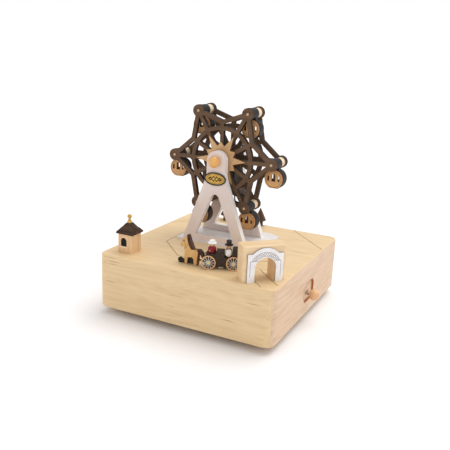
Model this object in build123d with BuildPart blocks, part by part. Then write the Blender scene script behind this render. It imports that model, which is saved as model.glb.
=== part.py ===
from build123d import *
from math import cos, degrees, radians, sin, sqrt
import os

os.makedirs("parts", exist_ok=True)

# A wooden wind-up music box with a turning ferris wheel and a small horse
# carriage that circles on its top. Millimetres, +Z up. The origin is the
# centre of the face it stands on. -Y is the front, and the side knob is at +X.

# The box.
block_side = 130.0
block_height = 38.4
block_corner = 6.5
block_edge = 1.5
block_arris = 0.8
block_wall = 8.0
block_skin = 4.5
cavity_corner = 14.0
panel_thickness = 3.0
panel_lap = 3.0
panel_fit = 0.15

# What it stands and winds on.
pad_height = 1.0
pad_radius = 46.0
turntable_height = 3.6
turntable_radius = 50.0
turntable_gap = 0.6
boss_radius = 12.0
key_shaft_radius = 2.0
key_hole_radius = 6.0
key_shaft_seat = 1.0
key_shaft_grip = 2.5

# Clearances.
running_fit = 0.05
seat_fit = 0.02
rub_gap = 0.1

# Small screws, all alike.
screw_shank_radius = 1.0
screw_head_radius = 2.0
screw_head_height = 1.2
screw_length = 5.4
screw_sink = 1.4
panel_screw_inset = 2.0

# The sprung movement.
bedplate_thickness = 2.5
bedplate_left = -30.0
bedplate_right = 27.0
bedplate_front = -38.5
bedplate_back = 12.5
bedplate_corner = 3.0
bedplate_screw_side = 8.0
bedplate_screw_back = 4.5
bedplate_screw_front = 24.5
barrel_radius = 9.0
barrel_height = 10.2
barrel_lift = 0.3
barrel_edge = 0.4
spindle_radius = 1.5
friction_disc_radius = 14.0
friction_disc_height = 1.5
disc_lift = 5.8
cylinder_radius = 5.5
cylinder_length = 22.0
cylinder_offset = 15.5
arbor_radius = 0.8
ear_thickness = 1.5
ear_gap = 0.5
ear_width = 6.0
ear_rise = 3.0
cylinder_shift = -1.0
comb_thickness = 0.8
comb_teeth = 18
tooth_gap = 0.35
comb_base_depth = 8.0
comb_length = 17.0
comb_tip_gap = 0.4
comb_screw_inset = 4.0
governor_x = 18.0
governor_y = -2.0
governor_fan = 8.0
governor_height = 15.0
worm_height = 3.5
worm_lift = 1.0
fan_height = 5.0
fan_lift = 6.0
pivot_gap = 0.5

# Drive from the movement to the wheel.
roller_contact = 12.0
roller_radius = 4.0
roller_width = 2.0
roller_shaft_radius = 1.0
small_pulley_radius = 2.2
large_pulley_radius = 6.6
pulley_width = 3.0
pulley_flange = 1.0
belt_thickness = 0.8
belt_clearance = 0.15
slot_margin = 2.0
roller_shaft_lead = 1.2
roller_shaft_tail = 1.0
bracket_gap = 1.5
bracket_width = 11.0
bracket_depth = 12.0
bracket_thickness = 2.0
bracket_ear_width = 7.0
bracket_ear_rise = 3.0
pulley_gap = 2.0

# Drive from the movement to the carriage.
ring_band_inside = 7.6
ring_band_outside = 4.9
ring_height = 2.5
ring_drop = 5.7
idler_radius = 16.0
idler_height = 2.6
post_radius = 5.0
post_pin_radius = 1.4
post_pin_gap = 0.5
post_pin_rise = 0.6
spindle_tail = 1.0
magnet_radius = 4.0
magnet_height = 2.4

# Start and stop knob.
knob_radius = 4.0
knob_y = -1.0
knob_drop = 23.6
knob_reach = 5.0
knob_travel = 4.5
stem_radius = 0.9
slot_clearance = 0.25
recess_width = 19.6
recess_height = 13.6
recess_depth = 1.2
recess_cut = 3.2
recess_shift_y = 2.2
recess_shift_z = 1.5
slider_thickness = 1.0
slider_width = 9.0
slider_height = 8.0
slider_gap = 0.3
lever_radius = 0.6
lever_end_x = 23.4
slider_corner = 1.0
stem_short = 1.0

# Wheel frame.
axle_x = -7.6
axle_rise = 61.2
frame_front_y = -5.5
frame_depth = 35.0
frame_thickness = 4.8
frame_head_radius = 7.2
neck_drop = 11.0
neck_blend = 14.0
leg_half_width = 24.0
flare_height = 3.2
foot_half_width = 25.6
opening_point_drop = 18.5
opening_apex_radius = 3.4
opening_half_width = 15.4
opening_sill = 4.6
opening_corner = 4.0
plate_thickness = 1.5
plate_left = -37.5
plate_right = 28.0
plate_lip = 1.2
plate_back = 40.0
bush_radius = 2.6
axle_radius = 1.5

# Badge on the front frame.
badge_drop = 12.5
badge_width = 17.0
badge_height = 9.5
badge_rim_width = 0.95
badge_rim_thickness = 0.8
badge_face_thickness = 0.5

# The wheel.
spoke_count = 6
wheel_turn = 0.7
pin_circle_radius = 38.3
star_setback = 8.0
star_thickness = 3.0
star_gap = 14.5
tip_radius = 4.3
notch_radius = 26.5
rim_bar = 3.1
spoke_bar = 2.8
spoke_ring_radius = 22.5
ring_bar = 3.0
hub_disc_radius = 8.5
sun_long = 19.5
sun_short = 13.0
sun_valley = 10.0
sun_thickness = 1.2
hub_radius = 5.0
collar_radius = 3.4
collar_gap = 0.25
pin_radius = 0.9
pin_proud = 0.3
spacer_radius = 3.4
cap_radius = 4.1
cap_flat = 2.6
cap_cut = 1.2
cap_bore_spare = 0.4
axle_tail = 3.0

# Gondolas.
gondola_gap = 0.4
gondola_head_radius = 4.0
gondola_head_depth = 7.5
gondola_neck = 6.4
gondola_drum_radius = 7.1
gondola_drop = 10.7
gondola_setback = 2.2
gondola_depth = 8.8
gondola_wall = 1.2
gondola_flat = 6.5
panel_board = 1.2
panel_glue = 0.05
panel_margin = 0.4
window_wide = 2.8
window_narrow = 1.4
window_tall = 5.4
window_short = 3.6
window_pitch = 3.9
window_sill = -1.4
side_sill = -1.2

# The carriage and horse, on a ring road about the box's centre.
road_inset = 15.4
carriage_angle = -67.1
horse_lead = 20.26
wheel_radius = 4.75
wheel_width = 0.9
wheel_track = 8.4
wheel_base = 16.2
wheel_axle_radius = 0.7
wheel_rim = 0.75
wheel_hub_radius = 1.3
wheel_spoke = 0.45
wheel_spokes = 12
body_width = 6.6
body_clear = 1.8
hat_brim_radius = 2.75
hat_crown_radius = 1.65
doll_radius = 2.2
doll_head_radius = 1.6
driver_x = 6.2
driver_seat = 10.4
passenger_x = -4.6
passenger_seat = 8.2
horse_core_thickness = 2.0
horse_side_thickness = 1.0
horse_layer_gap = 0.03
guide_radius = 1.75
guide_width = 1.2
guide_x = 8.4
truck_width = 1.4
hitch_radius = 0.5
hitch_height = 4.2
fork_gap = 0.25
fork_thickness = 0.5
guide_pin_radius = 0.4
body_magnet_radius = 3.0
body_magnet_lift = 0.7
horse_magnet_length = 3.6
horse_magnet_lift = 0.1
horse_magnet_height = 0.5

# The gate, the house and the trees.
gate_inset = 23.52
gate_width = 28.7
gate_depth = 12.0
gate_height = 23.0
gate_corner = 2.0
gate_edge = 0.6
tunnel_width = 13.9
tunnel_height = 16.0
arch_width = 23.7
arch_leg_height = 18.5
arch_height = 22.2
arch_crown_width = 17.0
arch_thickness = 1.0
house_inset_x = 15.3
house_inset_y = 15.6
house_side = 11.5
house_height = 13.0
house_corner = 0.9
roof_side = 15.5
roof_height = 7.5
roof_top = 2.6
finial_height = 5.8
finial_base_radius = 1.7
finial_ball_radius = 1.55
pane_width = 4.7
pane_height = 6.0
pane_sill = 4.6
pane_shift = -0.9
pane_depth = 0.9
pane_thickness = 0.5
sill_width = 5.9
sill_height = 0.7
sill_depth = 0.6
left_tree_x = -28.9
left_tree_inset = 5.7
right_tree_x = 1.0
right_tree_inset = 4.4
tree_radius = 4.6
tree_height = 15.0
trunk_radius = 2.4
trunk_height = 4.5

# Engraved road lines on the top.
groove_width = 0.5
groove_depth = 0.3
road_line_gap = 9.3
corner_line_inset = 26.72
gate_path_half = 5.5
gate_path_length = 28.8

# Heights and places that follow from the sizes above.
block_bottom = pad_height + turntable_height + turntable_gap
top_z = block_bottom + block_height
skin_z = top_z - block_skin
panel_top = block_bottom + panel_thickness
cavity_side = block_side - 2 * block_wall
panel_side = cavity_side + 2 * panel_lap
plate_z = top_z + plate_thickness
axle_z = top_z + axle_rise
frame_back_y = frame_front_y + frame_depth
front_inner_y = frame_front_y + frame_thickness
rear_inner_y = frame_back_y - frame_thickness
star_front_y = frame_front_y + star_setback
star_back_y = star_front_y + star_thickness
rear_star_y = star_back_y + star_gap
rear_star_back = rear_star_y + star_thickness
gondola_front = star_back_y + gondola_gap
head_back = gondola_front + gondola_head_depth
drum_front = gondola_front + gondola_setback
drum_back = drum_front + gondola_depth
bedplate_top = panel_top + bedplate_thickness
barrel_z = bedplate_top + barrel_lift
barrel_top = barrel_z + barrel_height
disc_z = barrel_top + disc_lift
roller_z = disc_z - roller_radius
ring_z = skin_z - ring_drop
ring_top = ring_z + ring_height
cylinder_z = barrel_z + barrel_radius
knob_z = top_z - knob_drop
knob_x = block_side / 2 + knob_reach
pulley_y = frame_back_y + pulley_gap
belt_y = pulley_y + pulley_width / 2
road_z = top_z
block_corner_reach = block_side / sqrt(2)
road_radius = block_side / 2 - road_inset
horse_angle = carriage_angle - degrees(horse_lead / road_radius)
ring_inner = road_radius - ring_band_inside
ring_outer = road_radius + ring_band_outside
road_inner = road_radius - road_line_gap
road_outer = block_corner_reach - corner_line_inset
gate_reach = block_corner_reach - gate_inset
house_x = house_inset_x - block_side / 2
house_y = house_inset_y - block_side / 2
tree_spots = [
    (left_tree_x, block_side / 2 - left_tree_inset),
    (right_tree_x, block_side / 2 - right_tree_inset),
]


def upright(x, y, z):
    """A plane that faces the front, with its X to the right and its Y up."""
    return Plane(origin=(x, y, z), x_dir=(1, 0, 0), z_dir=(0, -1, 0))


def across_box(x, y, z):
    """A plane that faces +X, with its X to the back and its Y up."""
    return Plane(origin=(x, y, z), x_dir=(0, 1, 0), z_dir=(1, 0, 0))


def road_plane(angle, height=0.0):
    """A level plane on the ring road: X forwards, Y away from the centre."""
    a = radians(angle)
    return Plane(
        origin=(road_radius * cos(a), road_radius * sin(a), road_z + height),
        x_dir=(sin(a), -cos(a), 0),
        z_dir=(0, 0, 1),
    )


def road_side(angle, across):
    """An upright plane along the road, X forwards and Y up, set off across it."""
    a = radians(angle)
    r = road_radius + across
    return Plane(
        origin=(r * cos(a), r * sin(a), road_z),
        x_dir=(sin(a), -cos(a), 0),
        z_dir=(-cos(a), -sin(a), 0),
    )


def polar(radius, angle):
    return (radius * cos(radians(angle)), radius * sin(radians(angle)))


def arched(width, height, sill=0.0, x=0.0):
    """An opening with a half-round head, standing on y = sill."""
    with BuildSketch() as shape:
        with Locations((x, sill + (height - width / 2) / 2)):
            Rectangle(width, height - width / 2)
        with Locations((x, sill + height - width / 2)):
            Circle(width / 2)
    return shape.sketch


# The box and what closes it.

screw_corner = cavity_side / 2 - panel_screw_inset
panel_screws = [(sx * screw_corner, sy * screw_corner) for sx in (-1, 1) for sy in (-1, 1)]
belt_fraction = (axle_z - top_z + block_skin / 2) / (axle_z - roller_z)
belt_slot_x = axle_x * (1 - belt_fraction)
belt_slot_length = 2 * (large_pulley_radius + (small_pulley_radius - large_pulley_radius) * belt_fraction)
belt_slot_length += belt_thickness * 2 + 2 * slot_margin
belt_slot_width = belt_thickness + slot_margin
side_face = Plane(
    origin=(block_side / 2, knob_y + recess_shift_y, knob_z + recess_shift_z),
    x_dir=(0, 1, 0),
    z_dir=(1, 0, 0),
)
slot_plane = Plane(
    origin=(block_side / 2, knob_y + knob_travel / 2, knob_z),
    x_dir=(0, 1, 0),
    z_dir=(1, 0, 0),
)
gate_plane = Plane(
    origin=(gate_reach / sqrt(2), -gate_reach / sqrt(2), top_z),
    x_dir=(1, 1, 0),
    z_dir=(0, 0, 1),
)

with BuildPart() as base_block:
    with BuildSketch(Plane.XY.offset(block_bottom)):
        RectangleRounded(block_side, block_side, block_corner)
    extrude(amount=block_height)
    fillet(base_block.faces().sort_by(Axis.Z)[-1].edges(), block_edge)
    fillet(base_block.faces().sort_by(Axis.Z)[0].edges(), block_arris)
    with BuildSketch(Plane.XY.offset(block_bottom)):
        RectangleRounded(cavity_side, cavity_side, cavity_corner)
    extrude(amount=block_height - block_skin, mode=Mode.SUBTRACT)
    with BuildSketch(Plane.XY.offset(block_bottom)):
        RectangleRounded(panel_side, panel_side, block_corner)
    extrude(amount=panel_thickness, mode=Mode.SUBTRACT)
    with BuildSketch(Plane.XY.offset(panel_top)):
        with Locations(*panel_screws):
            Circle(screw_shank_radius + seat_fit)
    extrude(amount=screw_length, mode=Mode.SUBTRACT)
    with BuildSketch(side_face):
        recess = Rectangle(recess_width, recess_height)
        chamfer(recess.vertices(), recess_cut)
    extrude(amount=-recess_depth, mode=Mode.SUBTRACT)
    with BuildSketch(slot_plane):
        SlotCenterToCenter(knob_travel, 2 * (stem_radius + slot_clearance))
    extrude(amount=-block_wall, mode=Mode.SUBTRACT)
    with BuildSketch(Plane.XY.offset(skin_z)):
        with Locations((belt_slot_x, belt_y)):
            SlotOverall(belt_slot_length, belt_slot_width)
    extrude(amount=block_skin, mode=Mode.SUBTRACT)
    with BuildSketch(Plane.XY.offset(top_z)):
        RegularPolygon(road_inner, 8, major_radius=False, rotation=22.5)
        RegularPolygon(road_inner - groove_width, 8, major_radius=False, rotation=22.5, mode=Mode.SUBTRACT)
    extrude(amount=-groove_depth, mode=Mode.SUBTRACT)
    for side in (45, 135):
        with BuildSketch(Plane.XY.offset(top_z).rotated((0, 0, side))):
            with Locations((road_outer, 0)):
                Rectangle(groove_width, 2 * (block_corner_reach - road_outer) - 2 * block_edge)
        extrude(amount=-groove_depth, mode=Mode.SUBTRACT)
    with BuildSketch(gate_plane):
        with Locations((-gate_path_half, 0), (gate_path_half, 0)):
            Rectangle(groove_width, gate_path_length)
    extrude(amount=-groove_depth, mode=Mode.SUBTRACT)
base_block.part.label = "base_block"
export_step(base_block.part, "parts/base_block.step")

screw_left = bedplate_left + bedplate_screw_side
screw_right = bedplate_right - bedplate_screw_side
screw_back = bedplate_back - bedplate_screw_back
bedplate_screws = [
    (screw_left, bedplate_front + bedplate_screw_front),
    (screw_left, screw_back),
    (screw_right, screw_back),
]

with BuildPart() as bottom_panel:
    with BuildSketch(Plane.XY.offset(block_bottom)):
        RectangleRounded(panel_side - 2 * panel_fit, panel_side - 2 * panel_fit, block_corner)
        Circle(key_hole_radius, mode=Mode.SUBTRACT)
        with Locations(*panel_screws, *bedplate_screws):
            Circle(screw_shank_radius + seat_fit, mode=Mode.SUBTRACT)
    extrude(amount=panel_thickness)
    with BuildSketch(Plane.XY.offset(block_bottom)):
        with Locations(*panel_screws):
            Circle(screw_head_radius + rub_gap)
    extrude(amount=screw_sink, mode=Mode.SUBTRACT)
bottom_panel.part.label = "bottom_panel"
export_step(bottom_panel.part, "parts/bottom_panel.step")

# Turntable that winds the spring.

with BuildPart() as turntable:
    with BuildSketch(Plane.XY.offset(pad_height)):
        Circle(turntable_radius)
    extrude(amount=turntable_height)
    fillet(turntable.faces().sort_by(Axis.Z)[-1].edges(), block_arris)
    with BuildSketch(Plane.XY.offset(pad_height + turntable_height)):
        Circle(boss_radius)
    extrude(amount=turntable_gap)
    with BuildSketch(Plane.XY.offset(block_bottom)):
        Circle(key_shaft_radius + seat_fit)
    extrude(amount=-(turntable_height + turntable_gap - key_shaft_seat), mode=Mode.SUBTRACT)
turntable.part.label = "turntable"
export_step(turntable.part, "parts/turntable.step")

with BuildPart() as grip_pad:
    with BuildSketch(Plane.XY):
        Circle(pad_radius)
    extrude(amount=pad_height)
grip_pad.part.label = "grip_pad"
export_step(grip_pad.part, "parts/grip_pad.step")

key_shaft_bottom = pad_height + key_shaft_seat
key_shaft_top = barrel_z + key_shaft_grip

with BuildPart() as key_shaft:
    with BuildSketch(Plane.XY.offset(key_shaft_bottom)):
        Circle(key_shaft_radius)
    extrude(amount=key_shaft_top - key_shaft_bottom)
key_shaft.part.label = "key_shaft"
export_step(key_shaft.part, "parts/key_shaft.step")

# Movement: bedplate, comb, cylinder, barrel, governor.

idler_x = -(ring_inner - idler_radius)
cylinder_left = cylinder_shift - cylinder_length / 2
cylinder_right = cylinder_left + cylinder_length
comb_boss_front = -(cylinder_offset + cylinder_radius + comb_length)
comb_boss_back = comb_boss_front + comb_base_depth
comb_z = cylinder_z - comb_thickness / 2
comb_screw_y = comb_boss_front + comb_screw_inset
comb_screws = [
    (cylinder_left + comb_screw_inset, comb_screw_y),
    (cylinder_right - comb_screw_inset, comb_screw_y),
]
ear_faces = [cylinder_left - ear_gap - ear_thickness, cylinder_right + ear_gap]

with BuildPart() as bedplate:
    with BuildSketch(Plane.XY.offset(panel_top)):
        with Locations(((bedplate_left + bedplate_right) / 2, (bedplate_front + bedplate_back) / 2)):
            RectangleRounded(bedplate_right - bedplate_left, bedplate_back - bedplate_front, bedplate_corner)
        Circle(key_shaft_radius + running_fit, mode=Mode.SUBTRACT)
        with Locations((idler_x, 0)):
            Circle(spindle_radius + running_fit, mode=Mode.SUBTRACT)
        with Locations((governor_x, governor_y)):
            Circle(arbor_radius + running_fit, mode=Mode.SUBTRACT)
        with Locations(*bedplate_screws):
            Circle(screw_shank_radius + seat_fit, mode=Mode.SUBTRACT)
    extrude(amount=bedplate_thickness)
    with BuildSketch(Plane.XY.offset(bedplate_top)):
        with Locations(((cylinder_left + cylinder_right) / 2, (comb_boss_front + comb_boss_back) / 2)):
            Rectangle(cylinder_length, comb_base_depth)
        with Locations(*comb_screws):
            Circle(screw_shank_radius + seat_fit, mode=Mode.SUBTRACT)
    extrude(amount=comb_z - bedplate_top)
    for face_x in ear_faces:
        with BuildSketch(across_box(face_x, -cylinder_offset, bedplate_top)):
            add(arched(ear_width, cylinder_z - bedplate_top + ear_rise))
            with Locations((0, cylinder_z - bedplate_top)):
                Circle(arbor_radius + running_fit, mode=Mode.SUBTRACT)
        extrude(amount=ear_thickness)
bedplate.part.label = "bedplate"
export_step(bedplate.part, "parts/bedplate.step")

comb_tip = -(cylinder_offset + cylinder_radius + comb_tip_gap)
comb_pitch = cylinder_length / comb_teeth

with BuildPart() as comb:
    with BuildSketch(Plane.XY.offset(comb_z)):
        with Locations(((cylinder_left + cylinder_right) / 2, (comb_boss_front + comb_tip) / 2)):
            Rectangle(cylinder_length, comb_tip - comb_boss_front)
        for tooth in range(1, comb_teeth):
            with Locations((cylinder_left + tooth * comb_pitch, (comb_boss_back + comb_tip) / 2)):
                Rectangle(tooth_gap, comb_tip - comb_boss_back, mode=Mode.SUBTRACT)
        with Locations(*comb_screws):
            Circle(screw_shank_radius + seat_fit, mode=Mode.SUBTRACT)
    extrude(amount=comb_thickness)
comb.part.label = "comb"
export_step(comb.part, "parts/comb.step")

with BuildPart() as pinned_cylinder:
    with BuildSketch(across_box(cylinder_left, -cylinder_offset, cylinder_z)):
        Circle(cylinder_radius)
    extrude(amount=cylinder_length)
    with BuildSketch(across_box(ear_faces[0], -cylinder_offset, cylinder_z)):
        Circle(arbor_radius)
    extrude(amount=ear_faces[1] + ear_thickness - ear_faces[0])
pinned_cylinder.part.label = "pinned_cylinder"
export_step(pinned_cylinder.part, "parts/pinned_cylinder.step")

with BuildPart() as spring_barrel:
    with BuildSketch(Plane.XY.offset(barrel_z)):
        Circle(barrel_radius)
    extrude(amount=barrel_height)
    chamfer(spring_barrel.edges(), barrel_edge)
    with BuildSketch(Plane.XY.offset(barrel_z)):
        Circle(key_shaft_radius + running_fit)
    extrude(amount=key_shaft_top - barrel_z + rub_gap, mode=Mode.SUBTRACT)
spring_barrel.part.label = "spring_barrel"
export_step(spring_barrel.part, "parts/spring_barrel.step")

spindle_wheel_radius = ring_inner - 2 * idler_radius

with BuildPart() as output_spindle:
    with BuildSketch(Plane.XY.offset(barrel_top)):
        Circle(spindle_radius)
    extrude(amount=ring_top + spindle_tail - barrel_top)
    with BuildSketch(Plane.XY.offset(disc_z)):
        Circle(friction_disc_radius)
    extrude(amount=friction_disc_height)
    with BuildSketch(Plane.XY.offset(ring_z)):
        Circle(spindle_wheel_radius - rub_gap)
    extrude(amount=idler_height)
output_spindle.part.label = "output_spindle"
export_step(output_spindle.part, "parts/output_spindle.step")

with BuildPart() as governor:
    with BuildSketch(Plane.XY.offset(panel_top + pivot_gap)):
        with Locations((governor_x, governor_y)):
            Circle(arbor_radius)
    extrude(amount=governor_height)
    with BuildSketch(Plane.XY.offset(bedplate_top + worm_lift)):
        with Locations((governor_x, governor_y)):
            Circle(arbor_radius * 2)
    extrude(amount=worm_height)
    with BuildSketch(Plane.XY.offset(bedplate_top + fan_lift)):
        with Locations((governor_x, governor_y)):
            Rectangle(arbor_radius, governor_fan)
    extrude(amount=fan_height)
governor.part.label = "governor"
export_step(governor.part, "parts/governor.step")

# Roller, pulleys and belt that turn the wheel.


roller_front = roller_contact - roller_width / 2
roller_back = roller_contact + roller_width / 2
roller_shaft_front = roller_front - roller_shaft_lead
roller_shaft_back = belt_y + pulley_width / 2 + roller_shaft_tail
bracket_front = friction_disc_radius + bracket_gap
bracket_back = bracket_front + bracket_depth

with BuildPart() as friction_roller:
    with BuildSketch(upright(0, roller_back, roller_z)):
        Circle(roller_radius - running_fit)
        Circle(roller_shaft_radius + seat_fit, mode=Mode.SUBTRACT)
    extrude(amount=roller_width)
friction_roller.part.label = "friction_roller"
export_step(friction_roller.part, "parts/friction_roller.step")


def pulley_solid(x, z, groove):
    """A grooved pulley behind the rear frame, turned about a front to back line."""
    half = pulley_width / 2
    rim = groove + pulley_flange
    slot = belt_thickness / 2 + belt_clearance
    with BuildPart() as pulley:
        with BuildSketch(Plane(origin=(x, belt_y, z), x_dir=(1, 0, 0), z_dir=(0, 0, 1))):
            with BuildLine():
                Polyline(
                    (0, -half),
                    (rim, -half),
                    (rim, -slot),
                    (groove, -slot),
                    (groove, slot),
                    (rim, slot),
                    (rim, half),
                    (0, half),
                    close=True,
                )
            make_face()
        revolve(axis=Axis((x, belt_y, z), (0, 1, 0)))
    return pulley.part


with BuildPart() as roller_shaft:
    with BuildSketch(upright(0, roller_shaft_back, roller_z)):
        Circle(roller_shaft_radius)
    extrude(amount=roller_shaft_back - roller_shaft_front)
    add(pulley_solid(0, roller_z, small_pulley_radius))
roller_shaft.part.label = "roller_shaft"
export_step(roller_shaft.part, "parts/roller_shaft.step")

with BuildPart() as roller_bracket:
    with BuildSketch(Plane.XY.offset(panel_top)):
        with Locations((0, (bracket_front + bracket_back) / 2)):
            Rectangle(bracket_width, bracket_depth)
    extrude(amount=bracket_thickness)
    for back in (bracket_front + bracket_thickness, bracket_back):
        with BuildSketch(upright(0, back, panel_top)):
            add(arched(bracket_ear_width, roller_z - panel_top + bracket_ear_rise))
            with Locations((0, roller_z - panel_top)):
                Circle(roller_shaft_radius + running_fit, mode=Mode.SUBTRACT)
        extrude(amount=bracket_thickness)
roller_bracket.part.label = "roller_bracket"
export_step(roller_bracket.part, "parts/roller_bracket.step")

# The belt is a loop: an arc round each pulley and two straight runs.
belt_inner_large = large_pulley_radius + belt_clearance
belt_inner_small = small_pulley_radius + belt_clearance


def belt_outline(grow):
    """The outline round both pulleys, as the hull of two circles."""
    with BuildSketch() as outline:
        with Locations((axle_x, axle_z)):
            Circle(belt_inner_large + grow)
        with Locations((0, roller_z)):
            Circle(belt_inner_small + grow)
        make_hull()
    return outline.sketch


with BuildPart() as drive_belt:
    with BuildSketch(upright(0, belt_y + belt_thickness / 2, 0)):
        add(belt_outline(belt_thickness))
        add(belt_outline(0.0), mode=Mode.SUBTRACT)
    extrude(amount=belt_thickness)
drive_belt.part.label = "drive_belt"
export_step(drive_belt.part, "parts/drive_belt.step")

# Idler, magnet ring and its posts.

with BuildPart() as idler_wheel:
    with BuildSketch(Plane.XY.offset(ring_z)):
        with Locations((idler_x, 0)):
            Circle(idler_radius - rub_gap)
    extrude(amount=idler_height)
    with BuildSketch(Plane.XY.offset(panel_top + pivot_gap)):
        with Locations((idler_x, 0)):
            Circle(spindle_radius)
    extrude(amount=ring_z - panel_top - pivot_gap)
idler_wheel.part.label = "idler_wheel"
export_step(idler_wheel.part, "parts/idler_wheel.step")

with BuildPart() as magnet_ring:
    with BuildSketch(Plane.XY.offset(ring_z)):
        Circle(ring_outer)
        Circle(ring_inner, mode=Mode.SUBTRACT)
    extrude(amount=ring_height)
magnet_ring.part.label = "magnet_ring"
export_step(magnet_ring.part, "parts/magnet_ring.step")

with BuildPart() as ring_magnets:
    with BuildSketch(Plane.XY.offset(ring_top)):
        with Locations(polar(road_radius, carriage_angle), polar(road_radius, horse_angle)):
            Circle(magnet_radius)
    extrude(amount=magnet_height)
ring_magnets.part.label = "ring_magnets"
export_step(ring_magnets.part, "parts/ring_magnets.step")

post_pin_circle = ring_outer + post_pin_gap + post_pin_radius
post_circle = post_pin_circle - post_radius + post_pin_radius

with BuildPart() as ring_posts:
    with BuildSketch(Plane.XY.offset(panel_top)):
        with PolarLocations(post_circle, 4, start_angle=45):
            Circle(post_radius)
    extrude(amount=ring_z - rub_gap - panel_top)
    with BuildSketch(Plane.XY.offset(ring_z - rub_gap)):
        with PolarLocations(post_pin_circle, 4, start_angle=45):
            Circle(post_pin_radius)
    extrude(amount=ring_height + post_pin_rise)
ring_posts.part.label = "ring_posts"
export_step(ring_posts.part, "parts/ring_posts.step")

# Screws.


def screw_down(x, y, z, flip):
    """One screw with its head's seat at z: its shank goes down, or up if flipped."""
    way = 1 if flip else -1
    with BuildPart() as screw:
        with BuildSketch(Plane.XY.offset(z)):
            with Locations((x, y)):
                Circle(screw_shank_radius)
        extrude(amount=way * screw_length)
        with BuildSketch(Plane.XY.offset(z)):
            with Locations((x, y)):
                Circle(screw_head_radius)
        extrude(amount=-way * screw_head_height)
    return screw.part


with BuildPart() as small_screws:
    for x, y in panel_screws:
        add(screw_down(x, y, block_bottom + screw_sink, True))
    for x, y in bedplate_screws:
        add(screw_down(x, y, bedplate_top, False))
    for x, y in comb_screws:
        add(screw_down(x, y, comb_z + comb_thickness, False))
small_screws.part.label = "small_screws"
export_step(small_screws.part, "parts/small_screws.step")

# Start and stop knob.

slider_outer_x = block_side / 2 - block_wall - slider_gap


def side_plane(x):
    """A plane square to the side wall, through the knob's centre line."""
    return across_box(x, knob_y, knob_z)


stem_end = knob_x - stem_short

with BuildPart() as knob_ball:
    with Locations((knob_x, knob_y, knob_z)):
        Sphere(knob_radius)
    with BuildSketch(side_plane(knob_x - knob_radius)):
        Circle(stem_radius + seat_fit)
    extrude(amount=stem_end - knob_x + knob_radius + seat_fit, mode=Mode.SUBTRACT)
knob_ball.part.label = "knob_ball"
export_step(knob_ball.part, "parts/knob_ball.step")

with BuildPart() as stop_slider:
    with BuildSketch(side_plane(slider_outer_x)):
        Circle(stem_radius)
    extrude(amount=stem_end - slider_outer_x)
    with BuildSketch(side_plane(slider_outer_x - slider_thickness)):
        RectangleRounded(slider_width, slider_height, slider_corner)
    extrude(amount=slider_thickness)
    with BuildSketch(side_plane(lever_end_x)):
        Circle(lever_radius)
    extrude(amount=slider_outer_x - slider_thickness - lever_end_x)
stop_slider.part.label = "stop_slider"
export_step(stop_slider.part, "parts/stop_slider.step")

# The frame that carries the wheel.

with BuildPart() as frame_plate:
    with BuildSketch(Plane.XY.offset(top_z)):
        with Locations(((plate_left + plate_right) / 2, (frame_front_y - plate_lip + plate_back) / 2)):
            Rectangle(plate_right - plate_left, plate_back - frame_front_y + plate_lip)
        Circle(road_radius - wheel_track / 2 - wheel_width, mode=Mode.INTERSECT)
        with Locations((belt_slot_x, belt_y)):
            SlotOverall(belt_slot_length, belt_slot_width, mode=Mode.SUBTRACT)
    extrude(amount=plate_thickness)
frame_plate.part.label = "frame_plate"
export_step(frame_plate.part, "parts/frame_plate.step")

foot_y = plate_thickness - axle_rise


def a_frame_profile():
    """The frame seen from the front, its origin at the axle."""
    sill = foot_y + opening_sill
    knee = foot_y + flare_height
    half = frame_head_radius
    with BuildSketch() as profile:
        with BuildLine():
            Line((0, 0), (-half, 0))
            Line((-half, 0), (-half, -neck_drop))
            leg = Line((-half, -neck_drop), (-leg_half_width, knee))
            Spline(leg @ 1, (-foot_half_width, foot_y), tangents=(leg % 1, (-1, -0.25)))
            Line((-foot_half_width, foot_y), (0, foot_y))
            mirror(about=Plane.YZ)
        outline = make_face()
        bends = [v for v in outline.vertices() if abs(v.Y + neck_drop) < seat_fit]
        fillet(bends, neck_blend)
        Circle(frame_head_radius)
        Circle(bush_radius + seat_fit, mode=Mode.SUBTRACT)
        with BuildSketch(mode=Mode.SUBTRACT):
            with BuildLine():
                Polyline(
                    (-opening_half_width, sill),
                    (opening_half_width, sill),
                    (0, -opening_point_drop),
                    close=True,
                )
            opening = make_face()
            corners = opening.vertices().sort_by(Axis.Y)
            fillet(corners[-1], opening_apex_radius)
            fillet(corners[:2], opening_corner)
    return profile.sketch


with BuildPart() as front_frame:
    with BuildSketch(upright(axle_x, front_inner_y, axle_z)):
        add(a_frame_profile())
    extrude(amount=frame_thickness)
front_frame.part.label = "front_frame"
export_step(front_frame.part, "parts/front_frame.step")

with BuildPart() as rear_frame:
    with BuildSketch(upright(axle_x, frame_back_y, axle_z)):
        add(a_frame_profile())
    extrude(amount=frame_thickness)
rear_frame.part.label = "rear_frame"
export_step(rear_frame.part, "parts/rear_frame.step")

with BuildPart() as axle_bushes:
    for back in (front_inner_y, frame_back_y):
        with BuildSketch(upright(axle_x, back, axle_z)):
            Circle(bush_radius)
            Circle(axle_radius + running_fit, mode=Mode.SUBTRACT)
        extrude(amount=frame_thickness)
axle_bushes.part.label = "axle_bushes"
export_step(axle_bushes.part, "parts/axle_bushes.step")

badge_inner_x = badge_width / 2 - badge_rim_width
badge_inner_y = badge_height / 2 - badge_rim_width

with BuildPart() as badge_rim:
    with BuildSketch(upright(axle_x, frame_front_y, axle_z - badge_drop)):
        Ellipse(badge_width / 2, badge_height / 2)
        Ellipse(badge_inner_x, badge_inner_y, mode=Mode.SUBTRACT)
    extrude(amount=badge_rim_thickness)
badge_rim.part.label = "badge_rim"
export_step(badge_rim.part, "parts/badge_rim.step")

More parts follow.
